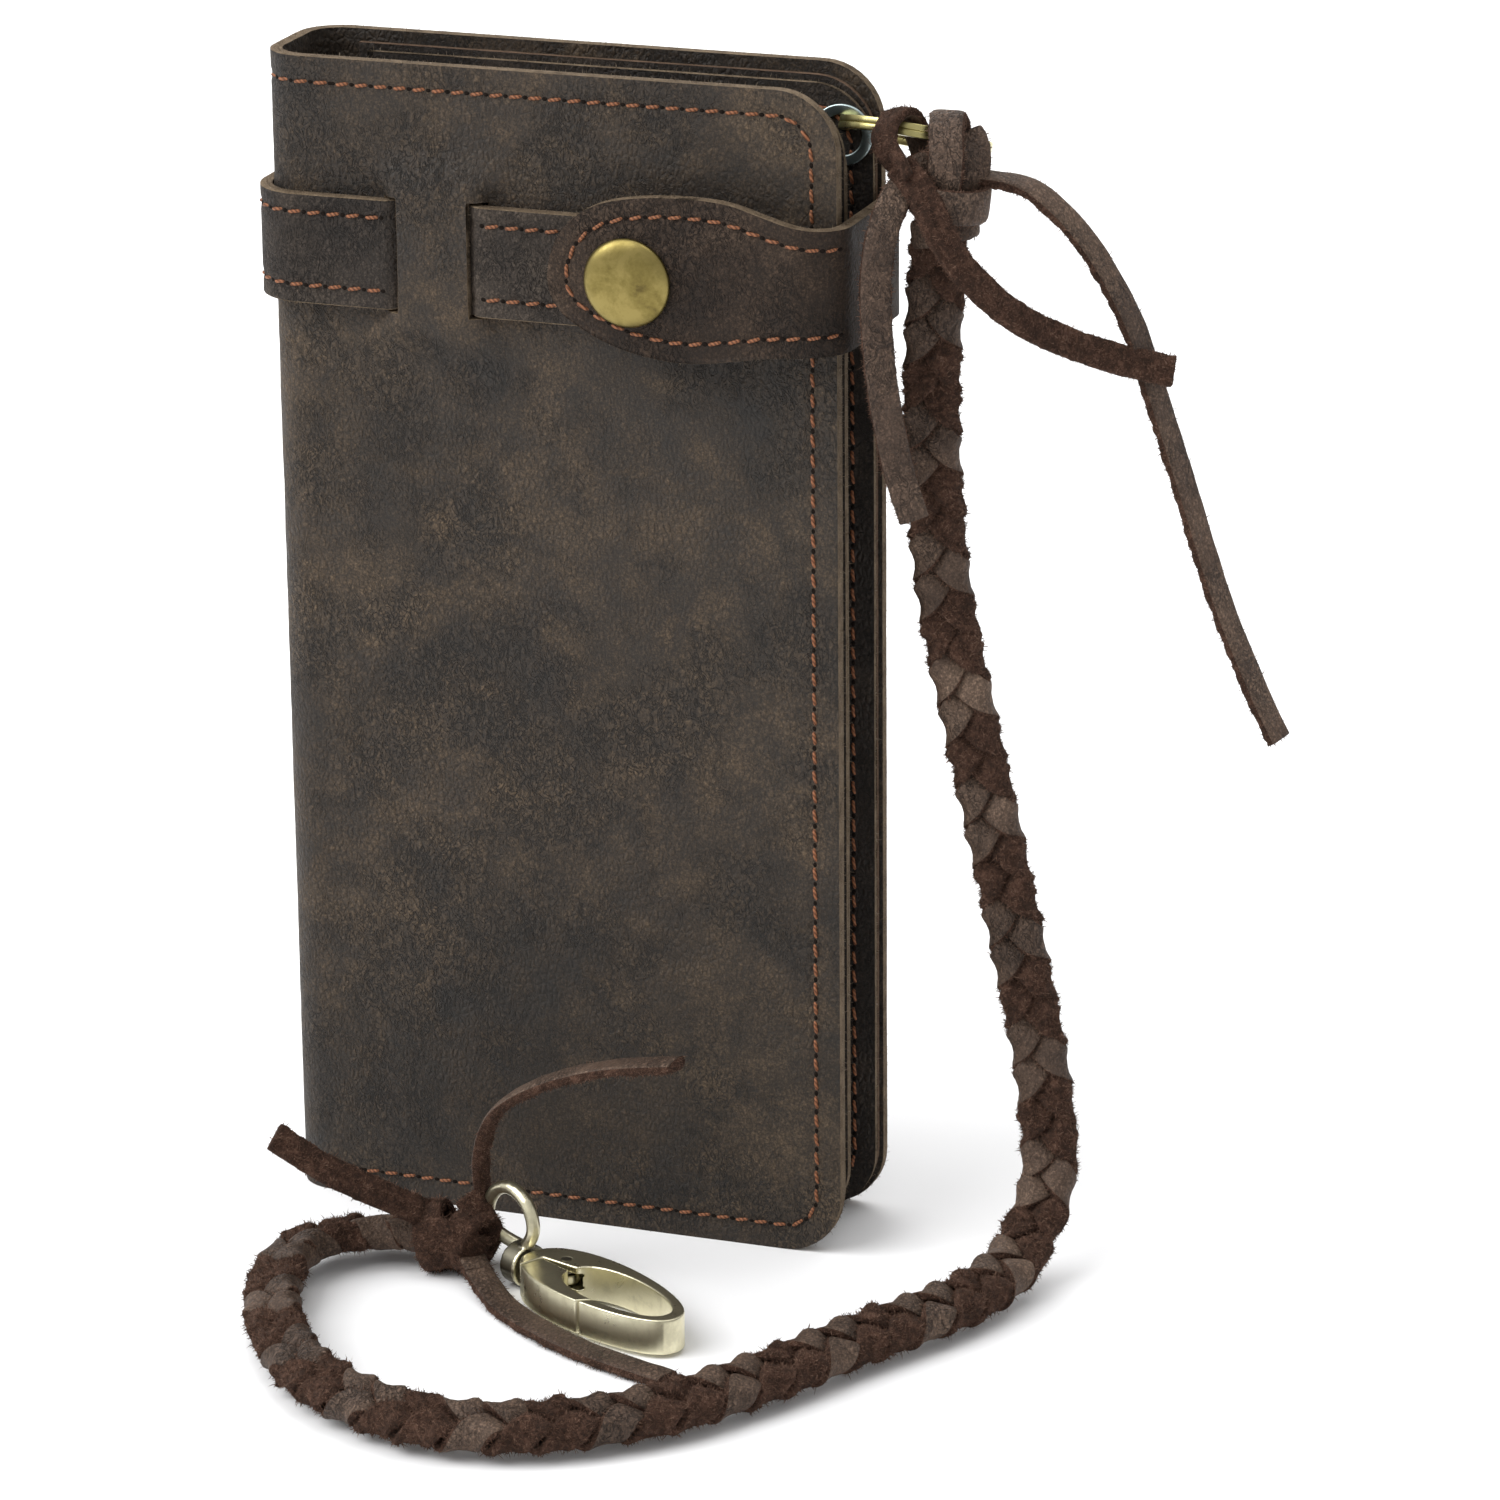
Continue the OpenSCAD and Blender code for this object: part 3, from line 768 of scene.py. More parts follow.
def make_knot_top():
    """Laces looped over the split ring and drawn down through a wrapped band."""
    nap_loop = [(59, 2.5, 182.5), (57.6, 2.6, 186), (56.4, 1.2, 189), (55.3, -1.2, 190),
                (54.4, -3.6, 188.4), (54.8, -5.2, 185.6), (57.2, -6.4, 183.2), (59.5, -7.4, 181)]
    nap_hints = [(-0.3, -1, 0), (-0.3, -1, -0.3), (0, -0.5, -1), (0.3, 0.1, -1),
                 (0.6, 0.8, -0.4), (0.4, 1, 0.2), (0.2, 1, 0.6), (0, 0.7, 1)]
    grain_loop = [(63.5, 4.6, 182), (63, 4.2, 186.4), (63.1, 1.8, 189.4), (63.7, -1.6, 190),
                  (64.5, -4.6, 188), (64.9, -5.6, 184.6), (64.5, -5.6, 181), (63.8, -4.6, 176.5),
                  (63, -3.6, 171)]
    grain_hints = [(0, 1, 0), (0, 1, 0.4), (0, 0.5, 1), (0, -0.6, 1), (0.1, -1, 0.5), (0.1, -1, 0),
                   (0, -1, -0.1), (0, -1, -0.1), (0, -1, 0)]
    parts = [
        strip(nap_loop, nap_hints, 5.3, 3.0),
        strip(grain_loop, grain_hints, 5.6, 5.0),
        band((64, -1.9, 177.3), (0.10, 0.06, 1), 5.7, 5.5, tilt=0.4, seed=2.0),
        band((63.2, -1.2, 172.2), (-0.15, 0.1, 1), 4.6, 4.4, tilt=0.5, seed=4.0),
        strip([(65.4, 3.4, 186.5), (67.2, 1.6, 184.6), (67.8, 0, 181.4), (66.8, -0.8, 176)],
              [(0.4, -1, 0.6), (0.7, -0.8, 0.2), (0.8, -0.6, 0), (0.8, -0.6, 0)], 5.0, 7.0),
        strip([(60.4, 1.4, 186), (59.6, 0, 182), (60, -1.6, 177.5), (61, -1.6, 171)],
              (-1, -0.5, 0.1), 5.0, 8.0),
        strip([(64, 3.5, 184), (64.5, 4, 179), (64, 3.2, 174), (63, 2.2, 169.5)], (0.2, 1, 0.1), 5.2, 9.0),
        tail([(62.5, 1.2, 181.4), (65.5, 1.6, 181.1), (68.6, 2.1, 179.8)], "lace_long", 10.0),
        tail([(63, -3.4, 183), (61, -4.2, 182.6), (58.8, -6.3, 180.7)], "lace_short", 12.0),
    ]
    points, faces, kinds = join_parts(parts)
    knot = make_object("knot_top_laces", points, faces, [LACE_SKIN, SUEDE], kinds)
    settle(knot, "back_half", ["knot_top"])
    add_fuzz("knot_top_fuzz", knot, 3.4, 1.1, 0.11, FUZZ, 21, "back_half")


def make_knot_end():
    """Wraps that tie the lanyard to the clasp's eye."""
    c = np.array((-8.5, -37.5, 6.1))
    parts = [
        band(c + (-3.6, 0, -0.3), (1, 0.1, 0.35), 4.9, 5.0, tilt=0.6, seed=1.5),
        band(c + (2.2, -0.2, -0.3), (1, -0.2, -0.3), 4.6, 5.0, tilt=0.7, seed=3.5),
        band(c + (-0.6, 0, -0.2), (0.25, 0.3, 1), 5.6, 4.6, tilt=0.9, squash=0.85, seed=6.5),
        strip([c + (3, 2, -2), c + (4.6, 1.2, 1.5), c + (3.2, 0.6, 5), c + (1.5, 1, 7)],
              (0.5, -1, 0.3), 4.8, 8.5),
    ]
    wraps, faces, kinds = join_parts(parts)
    floor_start = tail([(-8, -37.5, 5.5), (-5.6, -40, 4.4), (-2.4, -43.6, 2.9)], "lace_floor", 9.5)
    # only the floor lace leaves the knot with its grain side up
    points, faces, kinds = join_parts([(wraps, faces, [1] * len(kinds)), floor_start])
    points = above_floor(points, 0.1)
    knot = make_object("knot_end_laces", points, faces, [LACE_SKIN, SUEDE], kinds)
    settle(knot, "lanyard", ["knot_end"])
    add_fuzz("knot_end_fuzz", knot, 5.5, 1.05, 0.12, FUZZ, 31, "lanyard")


make_braid()
for lace_name, facts in LACES.items():
    make_lace(lace_name, **facts)
make_knot_top()
make_knot_end()


# ---- leather sheets ----

SHEETS = {}
EDGE_BEVEL = 0.45
POCKET_BEVEL = 0.28
SHEET_STEP = 1.6
COVER_SIDE_X = -36
SPINE_SIDE_X = -47
CARD_STEP = 18
PAGE_W = 90
PAGE_AT = (-43.0, -7.4)
PAGE_LEAN = math.radians(3.4)


def spine_blend(side):
    """Where leather turns from a cover into the spine; side is -1 at the front and 1 at the back."""
    body = "front_half" if side < 0 else "back_half"
    return body, "spine", (COVER_SIDE_X, side * HALF_T, 0), (SPINE_SIDE_X, side * HALF_T, 0)


def rounded_rows(z0, z1, corner, step, extra=()):
    """Heights of a sheet's rows and how far its fore-edge is cut back at each, for the rounded corners."""
    rows = []
    turns = 10 if corner > 0 else 1
    for i in range(turns):
        angle = math.pi / 2 * i / turns
        rows.append((z0 + corner * (1 - math.cos(angle)), corner * (1 - math.sin(angle))))
    inner = [z for z in np.arange(z0 + corner, z1 - corner, step)] + [z1 - corner]
    marks = sorted(set(list(extra)))
    inner = [z for z in inner if all(abs(z - m) > step * 0.45 for m in marks)] + marks
    rows.extend((z, 0.0) for z in sorted(inner))
    for i in range(turns - 1, -1, -1):
        angle = math.pi / 2 * i / turns
        rows.append((z1 - corner * (1 - math.cos(angle)), corner * (1 - math.sin(angle))))
    clean = [rows[0]]
    for row in rows[1:]:
        if row[0] - clean[-1][0] > 0.05:
            clean.append(row)
    return clean


def marked_steps(start, end, step, marks=()):
    """Even steps from start to end that also pass through the marks."""
    values = [v for v in np.arange(start, end, step)] + [end]
    marks = sorted(marks)
    return sorted([v for v in values if all(abs(v - m) > step * 0.45 for m in marks)] + marks)


def thicken(obj, thickness, bevel):
    """Gives a surface the thickness of leather, with its second material on its soft cut edge."""
    modify(obj, "SOLIDIFY", thickness=thickness * MM, offset=0.0, use_even_offset=True,
           material_offset_rim=1)
    modify(obj, "BEVEL", limit_method="ANGLE", angle_limit=math.radians(55), width=bevel * MM,
           segments=2, material=1)
    apply_modifiers(obj)
    shade_smooth(obj.data)


def solid_sheet(name, columns, rows, place, thickness, materials, surface, hole=None, bevel=EDGE_BEVEL):
    """A leather sheet: place(s, z) gives the middle of the leather, hole(s, z) is true where it is cut
    away, and surface gives its relief."""
    first, last = columns[0], columns[-1]
    points, faces = [], []
    for z, cut in rows:
        share = (last - cut - first) / (last - first)
        for s in columns:
            points.append(place(first + (s - first) * share, z))
    for face in grid_faces(len(rows), len(columns)):
        j, i = divmod(face[0], len(columns))
        if not hole or not hole((columns[i] + columns[i + 1]) / 2, (rows[j][0] + rows[j + 1][0]) / 2):
            faces.append(face)
    used = sorted(set(i for f in faces for i in f))
    index = {old: new for new, old in enumerate(used)}
    faces = [tuple(index[i] for i in f) for f in faces]
    obj = make_object(name, [points[i] for i in used], faces, materials)
    thicken(obj, thickness, bevel)
    displace(obj, surface)
    SHEETS[name] = obj
    return obj


def wrap(s, outset):
    """Point of the wrap round the spine, s mm along it from the spine's middle: x and distance from the
    middle plane. outset is how far the leather's middle lies outside the cover's outer face."""
    radius = FOLD_R + outset
    if s < FOLD_FLAT:
        return FOLD_X - radius, s
    s -= FOLD_FLAT
    if s < radius * math.pi / 2:
        angle = s / radius
        return FOLD_X - radius * math.cos(angle), FOLD_FLAT + radius * math.sin(angle)
    return FOLD_X + (s - radius * math.pi / 2), FOLD_FLAT + radius


def wrap_normal(s, outset):
    """Direction out of the wrap's leather: x and distance from the middle plane."""
    angle = min(max((s - FOLD_FLAT) / (FOLD_R + outset), 0.0), math.pi / 2)
    return -math.cos(angle), math.sin(angle)


def wrap_s(x, outset):
    """The inverse of wrap() on its flat part."""
    return FOLD_FLAT + (FOLD_R + outset) * math.pi / 2 + (x - FOLD_X)


def grain_relief(seed, amount=1.0):
    """Slow waves and small creases of a worn leather face, in mm."""
    def push(p):
        wave = 0.16 * rough(p, 28.0, seed) + 0.06 * rough(p, 7.0, seed + 5)
        crease = 0.05 * rough((p[0] * 1.5, p[1], p[2] * 0.7), 1.7, seed + 9)
        return amount * (wave + crease)
    return push


def corner_distance(x, z, x1, z0, z1, corner):
    """Distance in from the outline of a cover: its fore-edge, top and bottom, round the corners."""
    dx, dz = x1 - x, min(z - z0, z1 - z)
    if dx < corner and dz < corner:
        return corner - math.hypot(corner - dx, corner - dz)
    return min(dx, dz)


STITCH_IN = 4.2


def cover_relief(seed):
    """The grain of a cover, calmer towards its edge, with the groove that the stitches lie in."""
    relief = grain_relief(seed)

    def push(p):
        inset = corner_distance(p[0], p[2], HALF_W, 0, HEIGHT, CORNER_R)
        groove = -0.28 * math.exp(-((inset - STITCH_IN) / 0.75) ** 2)
        return relief(p) * min(1.0, 0.35 + inset / 6) + groove
    return push


WINDOW_Z = (STRAP_Z - STRAP_W / 2 - 0.5, STRAP_Z + STRAP_W / 2 + 0.5)
RAMP = 9.0


def bridge_lift(x, z):
    """How far the bridge stands out over the strap."""
    low, high = WINDOW_Z
    along = smoothstep((z - low + RAMP) / RAMP) * smoothstep((high + RAMP - z) / RAMP)
    beyond = max(low - z, z - high, 0.0)
    fade = SLIT_W + 0.8 + 5.0 * float(smoothstep(beyond / 5.0))
    left = smoothstep((x - BRIDGE[0] + fade) / fade)
    right = smoothstep((BRIDGE[1] + fade - x) / fade)
    return BRIDGE_LIFT * float(along) * float(left * right)


def in_slit(x, z):
    inside = WINDOW_Z[0] < z < WINDOW_Z[1]
    return inside and (BRIDGE[0] - SLIT_W < x < BRIDGE[0] or BRIDGE[1] < x < BRIDGE[1] + SLIT_W)


def make_covers():
    """Both covers, each with its half of the spine, and the fibres of their cut edges."""
    middle = -COVER_T / 2
    end = wrap_s(HALF_W, middle)
    slit_edges = (BRIDGE[0] - SLIT_W, BRIDGE[0], BRIDGE[1], BRIDGE[1] + SLIT_W)
    slit_marks = [wrap_s(x, middle) for x in slit_edges]

    def back(s, z):
        x, y = wrap(s, middle)
        return x, y, z

    def front(s, z):
        x, y = wrap(s, middle)
        return x, -y - bridge_lift(x, z), z

    def cut_away(s, z):
        return s > 30 and in_slit(wrap(s, middle)[0], z)

    rows = rounded_rows(0.0, HEIGHT, CORNER_R, 1.0, WINDOW_Z)
    for side, name, columns, place, hole, relief, nodes, seed in (
            (1, "cover_back", marked_steps(0, end, 1.0), back, None, 3.0, ["cover_back"], 41),
            (-1, "cover_front", marked_steps(0, end, 1.0, slit_marks), front, cut_away, 8.0,
             ["cover_front", "cover_spine"], 42)):
        cover = solid_sheet(name + "_skin", columns, rows, place, COVER_T, [COVER, EDGE],
                            cover_relief(relief), hole)
        settle(cover, None, nodes, spine_blend(side))
        add_fuzz(name + "_fuzz", cover, 2.4, 0.75, 0.07, FUZZ_PALE, seed, None,
                 spine_blend(side))


def flat_sheet(name, node, outline, y, body, seed, thickness=1.0, corner=CORNER_R, turn=None, hidden=False):
    """A pocket leather: a flat sheet with its middle at y. outline is its x0, x1, z0 and z1; turn puts it
    in another place. A hidden one has an edge with painted shade, a darker copy of the raw edge, and no
    fibres."""
    def place(x, z):
        wave = 0.10 * rough((x, 0, z), 30.0, seed)
        point = (x, y + wave, z)
        return turn(point) if turn else point

    x0, x1, z0, z1 = outline
    # hidden sheets get the darker copy of the edge: painted shade
    edge = EDGE_SHADED if hidden else EDGE
    columns = marked_steps(x0, x1, SHEET_STEP)
    rows = rounded_rows(z0, z1, corner, SHEET_STEP)
    sheet = solid_sheet(name, columns, rows, place, thickness, [POCKET, edge], grain_relief(seed, 0.3),
                        bevel=POCKET_BEVEL)
    settle(sheet, body, [node])
    if not hidden:
        add_fuzz(name + "_fuzz", sheet, 3.2, 0.9, 0.08, FUZZ_PALE, int(seed * 10), body)


def on_page(p):
    """From the page's own flat place to where it stands, leaning a little."""
    c, s = math.cos(PAGE_LEAN), math.sin(PAGE_LEAN)
    return PAGE_AT[0] + p[0] * c - p[1] * s, PAGE_AT[1] + p[0] * s + p[1] * c, p[2]


def make_pockets():
    flat_sheet("lining_front_skin", "lining_front", (-40, HALF_W - 0.3, 0.5, HEIGHT - 0.5), -9.2,
               "front_half", 1.3)
    flat_sheet("divider_skin", "pocket_divider", (-40, HALF_W - 0.6, 1, HEIGHT - 2), 9.2,
               "back_half", 2.3, hidden=True)
    flat_sheet("leaf_skin", "leaf_back", (-38, HALF_W - 0.5, 0.5, HEIGHT - 3), 7.7, "back_half", 3.3)
    flat_sheet("page_front_skin", "page_front", (0, PAGE_W, 1, 192), 0.4, "spine", 4.3, 0.9, turn=on_page)
    flat_sheet("page_back_skin", "page_back", (0, PAGE_W, 1, 190), 1.4, "spine", 5.3, 0.9, turn=on_page)
    for k in range(4):
        node = f"card_slot_{k + 1}"
        flat_sheet(node + "_skin", node, (-36, HALF_W - 9, 4, 160 - CARD_STEP * k), 7.0 - 1.1 * k - 0.45,
                   "back_half", 6.3 + k, 0.85, corner=3, hidden=True)


# ---- strap and tab ----

STRAP_STITCH_IN = 3
TAB_STITCH_IN = 3.1

def strap_dip(x):
    """How far the strap goes in, to pass under the bridge."""
    left = smoothstep((x - (BRIDGE[0] - SLIT_W + 0.2)) / 3.2)
    right = smoothstep((BRIDGE[1] + SLIT_W - 0.2 - x) / 3.2)
    return 2.3 * float(left * right)


def strap_relief(p):
    """The strap's grain, with the grooves that its stitches lie in."""
    inset = STRAP_W / 2 - abs(p[2] - STRAP_Z)
    groove = 0.25 * math.exp(-((inset - STRAP_STITCH_IN) / 0.7) ** 2)
    return grain_relief(4.4, 0.8)(p) * 0.6 - groove


def make_straps():
    """The strap's runs round the back and the front, both from the middle of the spine."""
    outset = STRAP_GAP + STRAP_T / 2
    low, high = STRAP_Z - STRAP_W / 2, STRAP_Z + STRAP_W / 2
    rows = rounded_rows(low, high, 0, 0.9)

    def back(s, z):
        x, y = wrap(s, outset)
        return x, y, z

    def front(s, z):
        x, y = wrap(s, outset)
        return x, -y + strap_dip(x), z

    columns = marked_steps(0, wrap_s(48.3, outset), 0.9)
    strap = solid_sheet("strap_back_skin", columns, rows, back, STRAP_T, [STRAP, EDGE], strap_relief)
    settle(strap, None, ["strap_back", "strap_spine"], spine_blend(1))
    columns = marked_steps(0, wrap_s(26.5, outset), 0.9)
    strap = solid_sheet("strap_front_skin", columns, rows, front, STRAP_T, [STRAP, EDGE], strap_relief)
    settle(strap, None, ["strap_front"], spine_blend(-1))
    add_fuzz("strap_front_fuzz", strap, 2.4, 0.7, 0.07, FUZZ_PALE, 51, None,
             spine_blend(-1))


TAB_END_X = 51.3
# Upper and lower edge of the tab, from its tip to the fore-edge: x and z
TAB_UPPER = [(2.9, 164), (3.5, 167.5), (5.2, 171.2), (8, 174.1), (11.9, 176.3), (17.6, 177.6),
             (23.5, 178.1), (29.1, 178.1), (33.8, 177.6), (38.7, 176.2), (43, 175.0), (47, 174.3),
             (TAB_END_X, 174)]
TAB_LOWER = [(2.9, 164), (3.3, 161.5), (4.6, 159), (6.9, 156.9), (11.6, 154.4), (16.6, 152.7),
             (23.1, 151.7), (28.8, 151.8), (34.7, 152.7), (40.4, 153.6), (46, 154), (TAB_END_X, 154)]
FRONT_TURN_R = 7.0
BACK_TURN_R = 2.0
EDGE_X = 50.3
STRAP_BACK_Y = 13.3
TAB_TIP_X = 2.9
TAB_COLUMNS = 32
TAB_BLEND = ("strap_bend", "tab", (EDGE_X, -7, STRAP_Z), (42, -18.5, STRAP_Z))


def tab_outline(points, step):
    """One edge of the tab, as even steps along a smooth curve."""
    return resample(spline([(x, 0, z) for x, z in points], 8), step)


def tab_bend(s):
    """Middle line of the leather from the tab's tip, round the fore-edge, to the strap behind: x and y.
    s is measured from the tab's tip."""
    straight = EDGE_X - FRONT_TURN_R - TAB_TIP_X
    turn = FRONT_TURN_R * math.pi / 2
    if s < straight:
        return TAB_TIP_X + s, -TAB_Y
    if s < straight + turn:
        angle = (s - straight) / FRONT_TURN_R
        return (EDGE_X - FRONT_TURN_R + FRONT_TURN_R * math.sin(angle),
                -TAB_Y + FRONT_TURN_R * (1 - math.cos(angle)))
    down = s - straight - turn
    flat = TAB_Y + STRAP_BACK_Y - FRONT_TURN_R - BACK_TURN_R
    if down < flat:
        return EDGE_X, -TAB_Y + FRONT_TURN_R + down
    angle = min((down - flat) / BACK_TURN_R, math.pi / 2)
    return EDGE_X - BACK_TURN_R * (1 - math.cos(angle)), STRAP_BACK_Y - BACK_TURN_R * (1 - math.sin(angle))


def tab_s_of_y(y):
    """Distance along the tab where its stretch over the fore-edge passes y."""
    return EDGE_X - FRONT_TURN_R - TAB_TIP_X + FRONT_TURN_R * math.pi / 2 + (y + TAB_Y - FRONT_TURN_R)


def tab_length():
    return tab_s_of_y(STRAP_BACK_Y - BACK_TURN_R) + BACK_TURN_R * math.pi / 2


def tab_normal(s):
    x0, y0 = tab_bend(s - 0.2)
    x1, y1 = tab_bend(s + 0.2)
    return unit((y1 - y0, x0 - x1, 0))


def tab_piece(name, s0, s1):
    """A stretch of the tab's leather as a grid that follows its outline."""
    upper = tab_outline(TAB_UPPER, 0.4)
    lower = tab_outline(TAB_LOWER, 0.4)
    steps = marked_steps(s0, s1, 0.8)
    if s0 == 0:
        steps = [0.02, 0.1, 0.25, 0.45, 0.7, 1.0, 1.4, 1.9, 2.5, 3.2] + [s for s in steps if s > 3.8]
    points, faces = [], []
    for s in steps:
        x, y = tab_bend(s)
        at = min(TAB_TIP_X + s, TAB_END_X)
        low = float(np.interp(at, lower[:, 0], lower[:, 2]))
        high = float(np.interp(at, upper[:, 0], upper[:, 2]))
        for k in range(TAB_COLUMNS + 1):
            points.append((x, y, low + (high - low) * k / TAB_COLUMNS))
    for i in range(len(steps) - 1):
        for k in range(TAB_COLUMNS):
            a = i * (TAB_COLUMNS + 1) + k
            b = a + TAB_COLUMNS + 1
            faces.append((a, b, b + 1, a + 1))
    obj = make_object(name, points, faces, [TAB, EDGE])
    thicken(obj, STRAP_T, EDGE_BEVEL)
    line, _ = tab_stitch_line()

    def push(p):
        nearest = np.min(np.linalg.norm(line - p, axis=1))
        return 0.45 * grain_relief(6.1)(p) - 0.28 * math.exp(-(nearest / 0.7) ** 2)
    displace(obj, push)
    SHEETS[name] = obj
    return obj


def tab_stitch_line():
    """The stitch line inside the tab's outline, from the upper fore-edge round the tip to the lower one,
    and the directions out of the leather along it."""
    outline = np.concatenate([tab_outline(TAB_UPPER, 0.5)[::-1], tab_outline(TAB_LOWER, 0.5)[1:]])
    ahead = headings(outline)
    inward = np.stack([-ahead[:, 2], ahead[:, 1] * 0, ahead[:, 0]], 1)
    middle = np.array((25.0, 0, STRAP_Z))
    sign = np.sign(np.mean(np.sum(inward * (middle - outline), axis=1)))
    line = outline + inward * sign * TAB_STITCH_IN

    def clear(p):
        reach = np.hypot(outline[:, 0] - p[0], outline[:, 2] - p[2])
        return np.min(reach) > TAB_STITCH_IN - 0.12
    line = resample(np.array([p for p in line if clear(p)]), 0.4)
    outer, normals = [], []
    for x, _, z in line:
        normal = tab_normal(x - TAB_TIP_X)
        bent_x, bent_y = tab_bend(x - TAB_TIP_X)
        outer.append(np.array((bent_x, bent_y, z)) + normal * (STRAP_T / 2 - 0.1))
        normals.append(normal)
    return np.array(outer), np.array(normals)


def make_tab():
    split = tab_s_of_y(0.0)
    tab = tab_piece("strap_tab_skin", 0, split)
    settle(tab, None, ["strap_tab"], TAB_BLEND)
    add_fuzz("strap_tab_fuzz", tab, 2.6, 0.75, 0.07, FUZZ_PALE, 61, None, TAB_BLEND)
    edge = tab_piece("strap_edge_skin", split, tab_length())
    settle(edge, None, ["strap_edge"],
           ("back_half", "strap_bend", (EDGE_X, 13, STRAP_Z), (EDGE_X, 6, STRAP_Z)))


make_covers()
make_pockets()
make_straps()
make_tab()


# ---- stitching ----

def on_leather(piece, line, normals):
    """The line moved along its normals onto the piece's own surface."""
    faces = [p.vertices for p in piece.data.polygons]
    tree = BVHTree.FromPolygons([v.co for v in piece.data.vertices], faces)
    points, kept = [], []
    for place, normal in zip(to_frame(line), normals):
        out = Vector(unit(normal))
        start = Vector(place) + out * 2.0 * MM
        hit = tree.ray_cast(start, -out, 4.0 * MM)[0]
        if hit is None:
            continue
        points.append((hit.x / MM, hit.y / MM - MID_Y, hit.z / MM))
        kept.append(tuple(out))
    return points, kept


THREAD_R = 0.30
THREAD_LIFT = 0.38
THREAD_SINK = 0.24
THREAD_SIDES = 7
THREAD_RINGS = 9
HOLE_R = 0.40
HOLE_SIDES = 10
THREAD_SHOWN = 0.70
STRAP_PITCH = 3.4


def add_thread(mesh, a, b, normal, half, draw):
    """Adds a thread between a and b that bows out of the leather; half is half its length."""
    points, faces, kinds = mesh
    slant = 0.16 + draw.uniform(-0.05, 0.05)
    ahead = unit(b - a)
    across = np.cross(normal, ahead)
    base = len(points)
    for j in range(THREAD_RINGS):
        t = 2 * j / (THREAD_RINGS - 1) - 1
        swell = 0.72 + 0.28 * math.sqrt(max(0.0, 1 - t * t))
        thick = THREAD_R * swell * (1 + draw.uniform(-0.03, 0.03))
        height = THREAD_LIFT * (1 - abs(t) ** 3.2) - THREAD_SINK
        middle = (a + b) / 2 + ahead * half * t + across * slant * t + normal * height
        for k in range(THREAD_SIDES):
            angle = 2 * math.pi * k / THREAD_SIDES
            points.append(middle + across * thick * math.cos(angle) + normal * thick * math.sin(angle))
    for j in range(THREAD_RINGS - 1):
        for k in range(THREAD_SIDES):
            p = base + j * THREAD_SIDES + k
            q = base + j * THREAD_SIDES + (k + 1) % THREAD_SIDES
            faces.append((p, p + THREAD_SIDES, q + THREAD_SIDES, q))
            kinds.append(0)
    end = base + (THREAD_RINGS - 1) * THREAD_SIDES
    faces.append(tuple(base + k for k in range(THREAD_SIDES)))
    faces.append(tuple(end + k for k in range(THREAD_SIDES - 1, -1, -1)))
    kinds.extend([0, 0])


def add_hole_shade(mesh, where, normal, ahead, draw):
    """Adds a dark oval of painted shade where a stitch hole is, just proud of the leather."""
    points, faces, kinds = mesh
    across = np.cross(normal, ahead)
    base = len(points)
    size = HOLE_R * (1 + draw.uniform(-0.1, 0.1))
    for spread, height in ((1.0, -0.10), (0.78, 0.07)):
        for k in range(HOLE_SIDES):
            angle = 2 * math.pi * k / HOLE_SIDES
            rim = ahead * 1.25 * math.cos(angle) + across * math.sin(angle)
            points.append(where + normal * height + rim * size * spread)
    points.append(where + normal * 0.08)
    for k in range(HOLE_SIDES):
        nxt = (k + 1) % HOLE_SIDES
        faces.append((base + k, base + nxt, base + HOLE_SIDES + nxt, base + HOLE_SIDES + k))
        faces.append((base + HOLE_SIDES + k, base + HOLE_SIDES + nxt, base + 2 * HOLE_SIDES))
        kinds.extend([1, 1])


def stitches(name, line, normals, body, sheet, pitch=3.3, blend=None, seed=1):
    """A row of stitches along a line on a sheet: threads that bow out of the leather, with a dark oval of
    painted shade for the hole at each end."""
    draw = random.Random(seed)
    line, normals = on_leather(SHEETS[sheet], line, normals)
    fine = resample(np.hstack([np.asarray(line, float), np.asarray(normals, float)]), 0.2)
    # resample() measures all six columns, so measure again along the first three
    reach = np.concatenate([[0], np.cumsum(np.linalg.norm(np.diff(fine[:, :3], axis=0), axis=1))])
    count = max(1, int(round(reach[-1] / pitch)))
    pitch = reach[-1] / count
    half = pitch * THREAD_SHOWN / 2
    mesh = [], [], []

    def at(distance):
        row = [float(np.interp(distance, reach, fine[:, k])) for k in range(6)]
        return np.array(row[:3]), unit(row[3:])

    for i in range(count):
        centre = (i + 0.5) * pitch
        a, normal = at(centre - half)
        b, _ = at(centre + half)
        add_thread(mesh, a, b, normal, half, draw)
    for i in range(count + 1):
        where, normal = at(min(max(i * pitch, 0.05), reach[-1] - 0.05))
        before, _ = at(max(i * pitch - 0.3, 0))
        after, _ = at(min(i * pitch + 0.3, reach[-1]))
        add_hole_shade(mesh, where, normal, unit(after - before), draw)
    points, faces, kinds = mesh
    obj = make_object(name, points, faces, [THREAD, PIT], kinds)
    return settle(obj, body, (), blend)


def cover_outline(x_end, z0, z1, corner, inset, start, step=0.5):
    """Stitch line of a cover: from start along the top, down the fore-edge and back along the bottom, as
    x and z."""
    r = corner - inset
    x1, low, high = x_end - inset, z0 + inset, z1 - inset
    turn = np.linspace(0, math.pi / 2, 12)
    points = [(start, high)]
    points += [(x1 - r + r * math.sin(a), high - r + r * math.cos(a)) for a in turn]
    points += [(x1 - r + r * math.cos(a), low + r - r * math.sin(a)) for a in turn]
    points += [(start, low)]
    return resample(np.array(points, float), step)


def wrap_line(s0, s1, outset, side, z):
    """A line along the wrap at one height, and the directions out of the leather along it; side is -1 at
    the front and 1 at the back."""
    line, normals = [], []
    for s in np.arange(s0, s1, 0.4):
        x, y = wrap(s, outset)
        out_x, out_y = wrap_normal(s, outset)
        line.append((x, side * y, z))
        normals.append((out_x, side * out_y, 0))
    return line, normals


